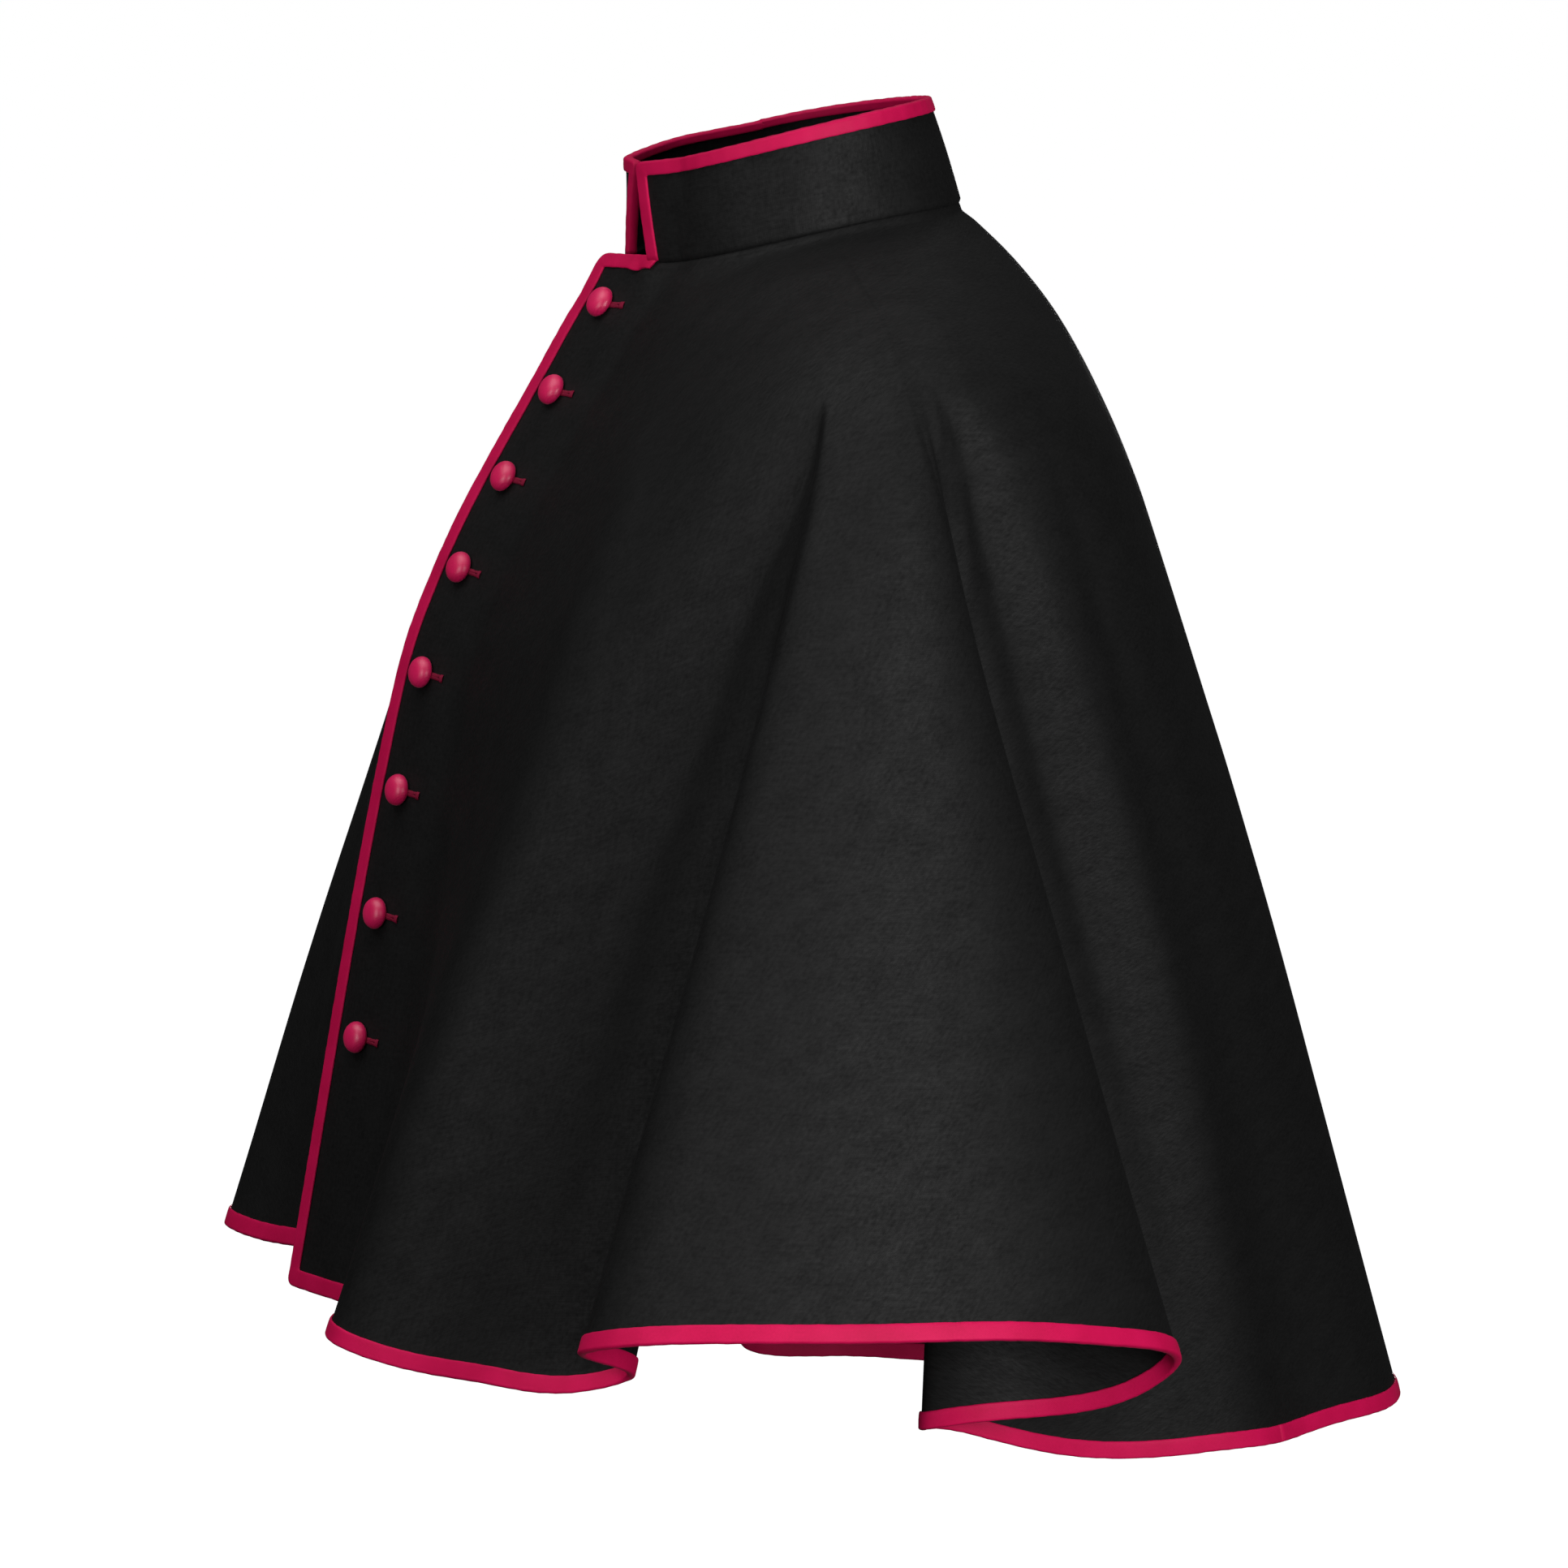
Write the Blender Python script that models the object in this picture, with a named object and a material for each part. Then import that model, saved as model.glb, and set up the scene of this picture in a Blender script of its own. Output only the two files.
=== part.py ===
"""A mozzetta: an elbow-length cape with a stand-up collar, filled out as if worn.

The wearer faces -Y, the wearer's left is +X and +Z is up. The origin is the middle of the neckline,
close to the mean height of the collar seam. All lengths are metres; the tables are in centimetres.

Each half of the cape is one surface P(u, t). t runs down the cloth from the collar seam (0) to the
hem (1), and u runs round the half from its front edge (0) to the centre back (1):

    P(u, t) = form(angle(u), t) + growth(t) * (hem(u) - form(angle(u), 1))

form() is the smooth shape of neck, shoulders, chest and back, from the table of rings. hem() is the
hem's true curve with its folds, from the table of folds. growth() is 0 above the shoulder's edge and
1 at the hem, so each fold starts at the shoulder and widens down a straight line.
"""

from collections import namedtuple
from math import cos, pi, radians

import bmesh
import bpy
import numpy as np
from mathutils import Matrix, Vector

CM = 0.01

# Cloth
WALL = 0.0016  # thickness of the cape's cloth
COLLAR_WALL = 0.0022  # the collar is stiffened
BINDING_WALL = 0.0008
GAP = 0.0003  # clearance at every seam
HEM_BINDING = 0.0069  # width of the binding on each face, front edge and hem
TOP_BINDING = 0.0060  # over the neckline's extension
COLLAR_BINDING = 0.0052
COLLAR_END_BINDING = 0.0044

# Front closure, the left half laps over the right one
LEFT_EDGE = -2.5  # how far each front edge lies from the centre front, towards its own side (cm)
RIGHT_EDGE = -1.5
TUCK = 0.7  # the right front lies this far inside the left one (cm)
TUCK_FROM, TUCK_TO = -7.5, -3.2  # it slides in between these two x values (cm)
PROW_SLOPE = 0.36  # the fronts run forward to the lapped edge at this slope
PROW_START, PROW_CREST, PROW_END = 2.5, -2.9, -10.0  # x values (cm)

# Where the folds begin, as a fraction of the way down
FOLD_START = 0.27
LEFT_FOLD_POWER, RIGHT_FOLD_POWER = 1.12, 1.0  # above 1 a fold is weaker near its start
# Near its start a fold is softened: its shift is an average over this much of u to each side, but not
# close to the front edge and the centre back
SOFT_START = 0.03
SOFT_POWER = 2.0  # above 1 a fold sharpens sooner on its way down
SOFT_MARGIN = 0.1
SOFT_SHARES = ((-2, 1 / 16), (-1, 4 / 16), (0, 6 / 16), (1, 4 / 16), (2, 1 / 16))

# Buttons
BUTTON_DIAMETER = 0.0138
BUTTON_HEIGHT = 0.0063
BUTTON_SEAT = 0.0005  # clearance under a button
# the turned profile, as fractions of the radius and the height
BUTTON_PROFILE = ((0, 0), (0.74, 0), (0.92, 0.1), (1, 0.32), (0.94, 0.6), (0.7, 0.85), (0.36, 0.97), (0, 1))
# each button's way down the cloth from the collar seam, and its way in from the left front edge (cm)
Button = namedtuple("Button", "down inward")
BUTTONS = (
    Button(2.36, 1.99),
    Button(6.65, 2.08),
    Button(10.91, 2.10),
    Button(15.26, 2.07),
    Button(20.06, 2.03),
    Button(25.26, 2.16),
    Button(30.71, 2.21),
    Button(36.19, 2.34),
)

# The join in the hem binding, as u on the left half
BINDING_JOIN = 0.84
JOIN_NOTCH = 0.0010

# Mesh density
HALF_COLUMNS = 60
HALF_ROWS = (0, 0.008, 0.0172, 0.04, 0.08, 0.13, 0.18, 0.225, 0.265, 0.305, 0.355, 0.43, 0.53, 0.66, 0.82, 1)
COLLAR_COLUMNS = 46
COLLAR_MIDDLE = 0.45  # the one row of points between the seam and the binding
BUTTON_SIDES = 12
TOP_SECTIONS = 5  # of the binding, over the neckline's extension
BEND_WEIGHT = 0.02  # one radian of bend draws as many columns as this length of hem (m)
CORNER_CLEAR = 1.2  # past a square corner the next section of binding is this many widths away
SAMPLES = 2000  # for measuring along a curve
STEP = 1e-4  # of u and t, for measuring slopes
SHARP_ANGLE = 50  # an edge that bends more than this is shaded sharp (degrees)
# the sides of a binding section that run from the strip's edge to the cloth's edge
LEG_TO_EDGE = (0, 7)

# Rings of the form from the collar seam down (cm). way is the fraction of the way to the hem. Each
# ring reaches so far from the middle, at such a height, at the centre front, the side and the back.
# neck is the share of the neckline's own height curve in the ring's heights, and roll is the slope at
# which the ring rises towards the wearer's left.
Ring = namedtuple("Ring", "way front front_z side side_z back back_z neck roll")
FORM = (
    Ring(0.000, 6.19, -1.25, 6.50, 0.32, 7.07, 1.16, 1, 0.05),
    Ring(0.008, 6.38, -1.62, 6.56, 0.02, 7.14, 0.79, 1, 0.05),
    Ring(0.020, 6.70, -2.15, 7.05, -0.27, 7.70, 0.29, 1, 0.05),
    Ring(0.060, 7.80, -3.90, 9.20, -0.55, 9.55, -1.65, 0.7, 0.035),
    Ring(0.120, 9.22, -6.40, 12.20, -1.45, 11.46, -4.40, 0.35, 0.018),
    Ring(0.200, 11.09, -9.60, 16.20, -2.80, 13.17, -8.30, 0.1, 0.005),
    Ring(0.260, 12.49, -12.10, 19.00, -4.40, 14.12, -11.40, 0, 0),
    Ring(0.320, 13.70, -14.60, 20.70, -7.20, 15.12, -14.80, 0, 0),
    Ring(0.400, 15.04, -18.00, 21.80, -11.20, 16.55, -19.30, 0, 0),
    Ring(0.500, 16.15, -22.60, 22.50, -16.80, 18.42, -24.80, 0, 0),
    Ring(1.000, 20.45, -45.70, 26.00, -45.50, 26.70, -52.20, 0, 0),
)
COLLAR_TOP = Ring(0, 6.24, 2.95, 6.30, 4.57, 5.60, 5.50, 1, 0.08)
# angles of the collar's two front ends, at its seam and at its top (degrees)
LEFT_END, RIGHT_END = (23.2, 18.0), (27.0, 20.5)
LAP_RISE = 0.25  # the neckline's extension stands this far above the collar's seam (cm)
LAP_ANGLE, LAP_FADE = 22.0, 6.0  # it starts to rise here, over this many degrees
LAP_WAY = 0.04  # its rise has died away this fraction of the way down
COLLAR_SEAT = 0.0009  # the collar stands this far above the cape's top edge
BINDING_END_ANGLE = 1.3  # the front binding starts this far before the collar's end (degrees)

# The hem's folds (cm). angle is where the fold starts on the form, 0 at the front edge, 90 at the
# side and 180 at the centre back. out is towards the half's own side, back towards the wearer's back.
Fold = namedtuple("Fold", "name angle out back z")
LEFT_FOLDS = (
    Fold("front edge", 0, -2.5, -22.2, -45.9),
    Fold("strip", 8, 0.8, -21.05, -45.95),
    Fold("strip valley", 17, 4.0, -20.2, -46.0),
    Fold("chest ridge", 42, 10.0, -23.1, -45.9),
    Fold("chest", 54, 13.0, -20.6, -46.65),
    Fold("chest side", 65, 16.5, -17.9, -46.75),
    Fold("valley mouth", 71, 19.0, -15.0, -46.8),
    Fold("front valley", 73.5, 20.5, -12.9, -46.1),
    Fold("arm lip", 76, 26.0, -16.1, -43.7),
    Fold("arm lip side", 77.5, 28.0, -15.2, -43.1),
    Fold("arm front", 80, 30.5, -11.0, -42.65),
    Fold("arm", 83, 31.5, -5.0, -42.75),
    Fold("arm back", 85.4, 31.0, 1.0, -43.05),
    Fold("arm turn", 87, 29.0, 6.1, -43.95),
    Fold("arm curl", 88.2, 25.0, 9.7, -45.95),
    Fold("arm curl side", 89.2, 23.5, 8.5, -47.3),
    Fold("back valley side", 91.2, 21.5, 4.0, -48.4),
    Fold("back valley turn", 93.4, 20.9, 0.9, -48.7),
    Fold("back valley", 95.2, 20.0, 0.2, -49.0),
    Fold("back valley mouth", 96.8, 19.2, 0.9, -49.15),
    Fold("flank front", 99.2, 18.8, 3.2, -49.75),
    Fold("flank", 103.5, 18.0, 6.6, -50.8),
    Fold("flank back", 109, 17.0, 10.5, -51.4),
    Fold("back ridge", 121, 16.2, 15.5, -51.4),
    Fold("back hollow", 132, 14.2, 18.3, -51.6),
    Fold("back side", 144, 11.8, 21.4, -51.5),
    Fold("back turn", 156, 8.9, 24.4, -51.6),
    Fold("back", 167, 4.9, 26.0, -51.7),
    Fold("centre back", 180, 0.0, 26.7, -52.2),
)
RIGHT_FOLDS = (
    Fold("under-lap edge", 0, -1.5, -19.8, -44.5),
    Fold("under-lap", 10, 2.9, -21.45, -44.35),
    Fold("chest", 26, 6.0, -22.6, -44.55),
    Fold("chest ridge", 38, 9.0, -23.55, -44.45),
    Fold("chest turn", 50, 12.4, -22.0, -44.85),
    Fold("chest side", 62, 16.0, -18.6, -46.0),
    Fold("valley mouth", 70, 18.9, -15.0, -46.4),
    Fold("front valley", 73, 20.2, -12.3, -46.2),
    Fold("arm lip", 75.5, 25.0, -14.4, -44.2),
    Fold("arm lip side", 77.5, 27.2, -13.6, -43.6),
    Fold("arm front", 80, 29.6, -9.4, -43.4),
    Fold("arm", 83.2, 30.2, -3.6, -43.9),
    Fold("arm back", 85.8, 29.2, 2.2, -45.0),
    Fold("arm turn", 87.6, 26.6, 6.6, -46.8),
    Fold("arm curl", 89, 22.8, 8.2, -48.9),
    Fold("arm curl side", 90.4, 20.8, 6.4, -50.4),
    Fold("back valley side", 93.4, 18.8, 3.2, -51.8),
    Fold("back valley", 96.8, 17.2, 2.2, -52.7),
    Fold("flank", 103, 16.4, 6.6, -53.3),
    Fold("flank back", 110, 15.4, 11.4, -53.6),
    Fold("back ridge", 122, 14.9, 16.6, -53.5),
    Fold("back hollow", 133, 12.6, 19.4, -53.4),
    Fold("back side", 144, 10.9, 22.4, -53.1),
    Fold("back turn", 156, 8.0, 25.0, -52.7),
    Fold("back", 168, 4.2, 26.5, -52.3),
    Fold("centre back", 180, 0.0, 26.7, -52.2),
)

# Looks: colour, roughness, metallic
BLACK_CLOTH = ("black wool", (0.012, 0.012, 0.013), 0.92, 0.0)
CRIMSON_CLOTH = ("crimson binding", (0.36, 0.008, 0.05), 0.7, 0.0)
CRIMSON_BUTTON = ("crimson button cloth", (0.42, 0.010, 0.07), 0.6, 0.0)


# Curves


def slopes(xs, ys):
    """Slopes for a smooth curve through the rows that rises and falls only where they do."""
    steps = np.diff(xs)[:, None]
    rates = np.diff(ys, axis=0) / steps
    mid = np.zeros_like(ys)
    same = rates[1:] * rates[:-1] > 0
    weight_a = 2 * steps[1:] + steps[:-1]
    weight_b = steps[1:] + 2 * steps[:-1]
    with np.errstate(divide="ignore", invalid="ignore"):
        mean = (weight_a + weight_b) / (weight_a / rates[:-1] + weight_b / rates[1:])
    mid[1:-1] = np.where(same, mean, 0)
    mid[0] = rates[0]
    mid[-1] = rates[-1]
    return mid


def smooth_rows(xs, ys, at):
    """The rows ys at xs, read at other values along that smooth curve."""
    xs = np.asarray(xs, float)
    ys = np.asarray(ys, float).reshape(len(xs), -1)
    at = np.clip(at, xs[0], xs[-1])
    k = np.clip(np.searchsorted(xs, at, side="right") - 1, 0, len(xs) - 2)
    step = (xs[k + 1] - xs[k])[..., None]
    w = ((at - xs[k]) / (xs[k + 1] - xs[k]))[..., None]
    m = slopes(xs, ys)
    start = ys[k] * (1 + 2 * w) * (1 - w) ** 2 + m[k] * step * w * (1 - w) ** 2
    end = ys[k + 1] * w**2 * (3 - 2 * w) + m[k + 1] * step * w**2 * (w - 1)
    return start + end


def spline(knots, points, at, end_slope):
    """A curve through the points with even curvature; its last slope is given, its first is free."""
    n = len(knots)
    steps = np.diff(knots)
    matrix = np.zeros((n, n))
    right = np.zeros_like(points)
    matrix[0, :2] = 2 * steps[0], steps[0]
    right[0] = 3 * (points[1] - points[0])
    for i in range(1, n - 1):
        matrix[i, i - 1 : i + 2] = 1 / steps[i - 1], 2 / steps[i - 1] + 2 / steps[i], 1 / steps[i]
        before = (points[i] - points[i - 1]) / steps[i - 1] ** 2
        after = (points[i + 1] - points[i]) / steps[i] ** 2
        right[i] = 3 * (before + after)
    matrix[-1, -1] = 1
    right[-1] = end_slope
    m = np.linalg.solve(matrix, right)
    k = np.clip(np.searchsorted(knots, at, side="right") - 1, 0, n - 2)
    step = steps[k][:, None]
    w = ((at - knots[k]) / steps[k])[:, None]
    start = points[k] * (1 + 2 * w) * (1 - w) ** 2 + m[k] * step * w * (1 - w) ** 2
    end = points[k + 1] * w**2 * (3 - 2 * w) + m[k + 1] * step * w**2 * (w - 1)
    return start + end


def ease(x):
    """0 below 0, 1 above 1, and a smooth step between."""
    x = np.clip(x, 0, 1)
    return x * x * (3 - 2 * x)


def prow(x):
    """How far the fronts stand forward at x (cm): up to the lapped edge, and back behind it."""
    rise = PROW_SLOPE * (PROW_START - x)
    rise = np.where(x > PROW_START, 0, rise)
    crest = PROW_SLOPE * (PROW_START - PROW_CREST)
    fall = crest * (1 - ease((PROW_CREST - x) / (PROW_CREST - PROW_END)))
    return np.where(x < PROW_CREST, fall, rise)


# The cape's surface


class Half:
    """One half of the cape: its side (+1 is the wearer's left), its front edge and its folds."""

    def __init__(self, side, edge, folds, fold_power):
        self.side = side
        self.edge = edge
        self.fold_power = fold_power
        self.angles = [fold.angle for fold in folds]
        self.points = np.array([(fold.out, fold.back, fold.z) for fold in folds])
        chords = np.linalg.norm(np.diff(self.points, axis=0), axis=1)
        self.knots = np.concatenate([[0], np.cumsum(chords)])
        self.knots /= self.knots[-1]

    def ring_points(self, ring, angle):
        """Points (cm) on one or more rings, at angles that run from the front edge to the back.

        A ring's height follows the square of along. The neckline's own height is instead a parabola
        in y through its front, side and back heights.
        """
        reach_f, z_f, reach_s, z_s, reach_b, z_b, neck, roll = (ring[..., i] for i in range(8))
        front = angle < 90
        turn = np.sin(np.radians(angle))
        out = np.where(front, self.edge + (reach_s - self.edge) * turn, reach_s * turn)
        across = np.clip(np.where(out > 0, out, 0) / reach_s, 0, 1)
        along = np.where(front, np.sqrt(1 - across**2), np.abs(np.cos(np.radians(angle))))
        x = self.side * out
        back = np.where(front, -reach_f, reach_b) * along
        z = z_s + np.where(front, z_f - z_s, z_b - z_s) * along**2
        rise_f, rise_b = (z_f - z_s) / reach_f, (z_b - z_s) / reach_b
        bend = (rise_f + rise_b) / (reach_f + reach_b)
        neck_z = z_s + (rise_b - bend * reach_b) * back + bend * back**2
        z = z + neck * (neck_z - z) + roll * x
        back = back - np.where(front, prow(x), 0)
        if self.side < 0:
            tuck = TUCK * ease((x - TUCK_FROM) / (TUCK_TO - TUCK_FROM))
            back = back + np.where(front, tuck, 0)
        return np.stack([x, back, z], -1)

    def form(self, angle, way):
        """The smooth form without folds (cm)."""
        rows = [ring[1:] for ring in FORM]
        ring = smooth_rows([ring.way for ring in FORM], rows, way)
        points = self.ring_points(ring, angle)
        if self.side > 0:
            points[..., 2] += LAP_RISE * ease((LAP_ANGLE - angle) / LAP_FADE) * ease(1 - way / LAP_WAY)
        return points

    def hem_shift(self, u):
        """How far the folds carry the hem from the smooth form (cm)."""
        last = np.array([-1.0, 0, 0]) * np.linalg.norm(self.points[-1] - self.points[-2])
        last_slope = last / (self.knots[-1] - self.knots[-2])
        hem = spline(self.knots, self.points, np.ravel(u), last_slope).reshape(np.shape(u) + (3,))
        return hem * (self.side, 1, 1) - self.form(self.angle(u), np.ones_like(u))

    def surface(self, u, t):
        """Points of the middle of the cloth, in metres, for arrays u and t of one shape."""
        growth = np.clip((t - FOLD_START) / (1 - FOLD_START), 0, 1) ** self.fold_power
        spread = SOFT_START * (1 - growth) ** SOFT_POWER * ease(u / SOFT_MARGIN) * ease((1 - u) / SOFT_MARGIN)
        moved = sum(share * self.hem_shift(u + k * spread) for k, share in SOFT_SHARES)
        points = (self.form(self.angle(u), t) + growth[..., None] * moved) * CM
        points[..., 0] += self.side * GAP / 2
        return points

    def normals(self, u, t):
        """Unit normals of the surface, pointing away from the wearer."""
        du = self.surface(np.clip(u + STEP, 0, 1), t) - self.surface(np.clip(u - STEP, 0, 1), t)
        dt = self.surface(u, np.clip(t + STEP, 0, 1)) - self.surface(u, np.clip(t - STEP, 0, 1))
        n = np.cross(dt, du) * self.side
        return n / np.linalg.norm(n, axis=-1, keepdims=True)

    def columns(self, count):
        """u values spaced along the hem, closer together where it bends."""
        fine = np.linspace(0, 1, SAMPLES)
        hem = self.surface(fine, np.ones_like(fine))
        runs = np.diff(hem, axis=0)
        length = np.linalg.norm(runs, axis=1)
        heading = runs / length[:, None]
        bend = np.concatenate([[0], np.linalg.norm(np.diff(heading, axis=0), axis=1)])
        cost = np.concatenate([[0], np.cumsum(length + BEND_WEIGHT * bend)])
        return np.interp(np.linspace(0, cost[-1], count), cost, fine)

    def angle(self, u):
        """The angle on the form at which each column starts."""
        return smooth_rows(self.knots, self.angles, u)[..., 0]

    def inset(self, t, width):
        """The u at which the cloth is this far in from the front edge."""
        t = np.atleast_1d(t)
        zero = np.zeros_like(t)
        run = np.linalg.norm(self.surface(zero + STEP, t) - self.surface(zero, t), axis=-1)
        return width * STEP / run

    def binding_top(self, u):
        """The t of the hem binding's upper edge on each column."""
        one = np.ones_like(u)
        run = np.linalg.norm(self.surface(u, one) - self.surface(u, one - STEP), axis=-1)
        return 1 - HEM_BINDING * STEP / run

    def down(self, u, length, from_hem=False):
        """The change in t that goes this far down the cloth from the seam, or up from the hem."""
        ways = np.linspace(0, 1, SAMPLES)
        line = self.surface(np.full_like(ways, u), 1 - ways if from_hem else ways)
        run = np.concatenate([[0], np.cumsum(np.linalg.norm(np.diff(line, axis=0), axis=1))])
        return float(np.interp(length, run, ways))


LEFT = Half(1, LEFT_EDGE, LEFT_FOLDS, LEFT_FOLD_POWER)
RIGHT = Half(-1, RIGHT_EDGE, RIGHT_FOLDS, RIGHT_FOLD_POWER)


# Building meshes


def material(look):
    """A plain Principled material from a name, a colour, a roughness and a metallic value."""
    name, colour, roughness, metallic = look
    if name in bpy.data.materials:
        return bpy.data.materials[name]
    made = bpy.data.materials.new(name)
    made.use_nodes = True
    shader = made.node_tree.nodes["Principled BSDF"]
    shader.inputs["Base Color"].default_value = (*colour, 1)
    shader.inputs["Roughness"].default_value = roughness
    shader.inputs["Metallic"].default_value = metallic
    return made


def finish_mesh(made, name, look):
    """A named object from a bmesh, faces pointing out, smooth between its sharp edges."""
    bmesh.ops.recalc_face_normals(made, faces=made.faces)
    mesh = bpy.data.meshes.new(name)
    made.to_mesh(mesh)
    made.free()
    mesh.materials.append(material(look))
    mesh.shade_smooth()
    mesh.set_sharp_from_angle(angle=radians(SHARP_ANGLE))
    item = bpy.data.objects.new(name, mesh)
    bpy.context.scene.collection.objects.link(item)
    return item


def add_object(name, vertices, faces, look):
    """A named object from vertices and faces."""
    made = bmesh.new()
    corners = [made.verts.new(v) for v in vertices]
    for face in faces:
        made.faces.new([corners[i] for i in face])
    return finish_mesh(made, name, look)


def split(a, b, c, d):
    """A four-sided cell a b c d as two triangles, split from a to c."""
    return [(a, b, c), (a, c, d)]


def wall(name, middle, normal, thickness, look):
    """A closed wall of cloth on both sides of a grid of points: columns round, rows down.

    Each cell is split from its upper corner on this column to its lower corner on the next, as the
    binding's cells are, so that a twisted cell of cloth lies evenly under the binding.
    """
    columns, rows = middle.shape[:2]
    outer = (middle + normal * thickness / 2).reshape(-1, 3)
    inner = (middle - normal * thickness / 2).reshape(-1, 3)
    behind = columns * rows
    faces = []
    for i in range(columns - 1):
        for j in range(rows - 1):
            a, b = i * rows + j, (i + 1) * rows + j
            faces += split(a, a + 1, b + 1, b)
            faces += split(behind + a, behind + a + 1, behind + b + 1, behind + b)
    top = [i * rows for i in range(columns)]
    back_edge = [(columns - 1) * rows + j for j in range(rows)]
    bottom = [i * rows + rows - 1 for i in reversed(range(columns))]
    front_edge = list(reversed(range(rows)))
    for edge in (top, back_edge, bottom, front_edge):
        for a, b in zip(edge, edge[1:]):
            faces += split(b, behind + b, behind + a, a)
    return add_object(name, np.concatenate([outer, inner]), faces, look)


def loft(name, sections, look):
    """A closed solid through equal sections (each a ring of points), capped at both ends."""
    count, ring = sections.shape[:2]
    faces = []
    for i in range(count - 1):
        here, there = i * ring, (i + 1) * ring
        for j in range(ring):
            k = (j + 1) % ring
            if j in LEG_TO_EDGE:
                faces += split(here + j, here + k, there + k, there + j)
            else:
                faces += split(here + k, there + k, there + j, here + j)
    faces.append(tuple(reversed(range(ring))))
    faces.append(tuple((count - 1) * ring + j for j in range(ring)))
    return add_object(name, sections.reshape(-1, 3), faces, look)


def binding_sections(edge, edge_normal, leg, leg_normal, corner, wall_under):
    """The folded strip's sections: out over one face, round the cloth's edge and up the other.

    edge is the cloth's edge and leg is the strip's own edge, on the middle of the cloth; corner is
    1, or the root of 2 where the strip turns a square corner.
    """
    outward = edge - leg
    outward *= (corner / np.linalg.norm(outward, axis=1))[:, None]
    near = wall_under / 2 + GAP
    far = near + BINDING_WALL
    reach = GAP + BINDING_WALL
    half = cos(pi / 4)
    ring = [
        leg + leg_normal * far,
        edge + edge_normal * far,
        edge + edge_normal * far * half + outward * reach * half,
        edge + outward * reach,
        edge - edge_normal * far * half + outward * reach * half,
        edge - edge_normal * far,
        leg - leg_normal * far,
        leg - leg_normal * near,
        edge - edge_normal * near + outward * GAP,
        edge + edge_normal * near + outward * GAP,
        leg + leg_normal * near,
    ]
    return np.stack(ring, 1)


# The sub-parts


def cape(name, half):
    """One half of the cape, a wall of black cloth."""
    columns = half.columns(HALF_COLUMNS)[:: half.side]
    grid_u, grid_t = np.meshgrid(columns, HALF_ROWS, indexing="ij")
    leg = half.binding_top(columns)
    grid_u = np.insert(grid_u, -1, columns, axis=1)
    grid_t = np.insert(grid_t, -1, leg, axis=1)
    wall(name, half.surface(grid_u, grid_t), half.normals(grid_u, grid_t), WALL, BLACK_CLOTH)


def hem_sections(half, u):
    """Binding sections along one half's hem."""
    return half_sections(half, u, 1.0, u, half.binding_top(u), 1)


def half_sections(half, edge_u, edge_t, leg_u, leg_t, corner):
    """Binding sections along a run of one half's edge."""
    edge_u, edge_t, leg_u, leg_t = np.broadcast_arrays(*np.atleast_1d(edge_u, edge_t, leg_u, leg_t))
    return binding_sections(
        half.surface(edge_u, edge_t),
        half.normals(edge_u, edge_t),
        half.surface(leg_u, leg_t),
        half.normals(leg_u, leg_t),
        corner,
        WALL,
    )


def edge_binding_left():
    """One strip: over the neckline's extension, down the front edge and along the hem."""
    columns = LEFT.columns(HALF_COLUMNS)
    leg_t = LEFT.down(0, TOP_BINDING)
    foot_t = 1 - LEFT.down(0, HEM_BINDING, from_hem=True)
    fine = np.linspace(0, 0.5, SAMPLES)
    top_end = np.interp(LEFT_END[0] - BINDING_END_ANGLE, LEFT.angle(fine), fine)
    clear = CORNER_CLEAR * HEM_BINDING
    top = np.linspace(top_end, LEFT.inset(0.0, clear)[0], TOP_SECTIONS)
    rows = np.array([t for t in HALF_ROWS if CORNER_CLEAR * leg_t < t < foot_t])
    hem = columns[(columns > LEFT.inset(1.0, clear)[0]) & (columns < BINDING_JOIN)]
    hem = np.append(hem, BINDING_JOIN)
    square = 2**0.5
    sections = [
        half_sections(LEFT, top, 0.0, top, leg_t, 1),
        half_sections(LEFT, 0.0, 0.0, LEFT.inset(leg_t, HEM_BINDING), leg_t, square),
        half_sections(LEFT, 0.0, rows, LEFT.inset(rows, HEM_BINDING), rows, 1),
        half_sections(LEFT, 0.0, 1.0, LEFT.inset(foot_t, HEM_BINDING), foot_t, square),
        hem_sections(LEFT, hem),
    ]
    loft("edge_binding_left", np.concatenate(sections), CRIMSON_CLOTH)


def edge_binding_right():
    """The strip that meets it: round the back and along the right hem to the under-lap."""
    left = LEFT.columns(HALF_COLUMNS)
    right = RIGHT.columns(HALF_COLUMNS)
    start = BINDING_JOIN + JOIN_NOTCH
    left = np.append(start, left[left > start + JOIN_NOTCH])
    sections = [hem_sections(LEFT, left), hem_sections(RIGHT, right[-2::-1])]
    loft("edge_binding_right", np.concatenate(sections), CRIMSON_CLOTH)


def collar_points(v, h):
    """The middle of the collar: v runs from its left end (0) round the back (0.5) to its right end
    (1), h from its seam (0) to its top (1)."""
    foot = np.array(FORM[0][1:])
    top = np.array(COLLAR_TOP[1:])
    points = np.zeros(np.shape(v) + (3,))
    for half, ends in ((LEFT, LEFT_END), (RIGHT, RIGHT_END)):
        share = 1 - 2 * v if half.side > 0 else 2 * v - 1
        here = (share > 0) if half.side < 0 else (share >= 0)
        low, high = (
            half.ring_points(ring, 180 + (end - 180) * np.clip(share, 0, 1))
            for ring, end in zip((foot, top), ends)
        )
        middle = low + (high - low) * h[..., None]
        points = np.where(here[..., None], middle, points)
    points = points * CM
    points[..., 2] += COLLAR_SEAT
    return points


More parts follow.
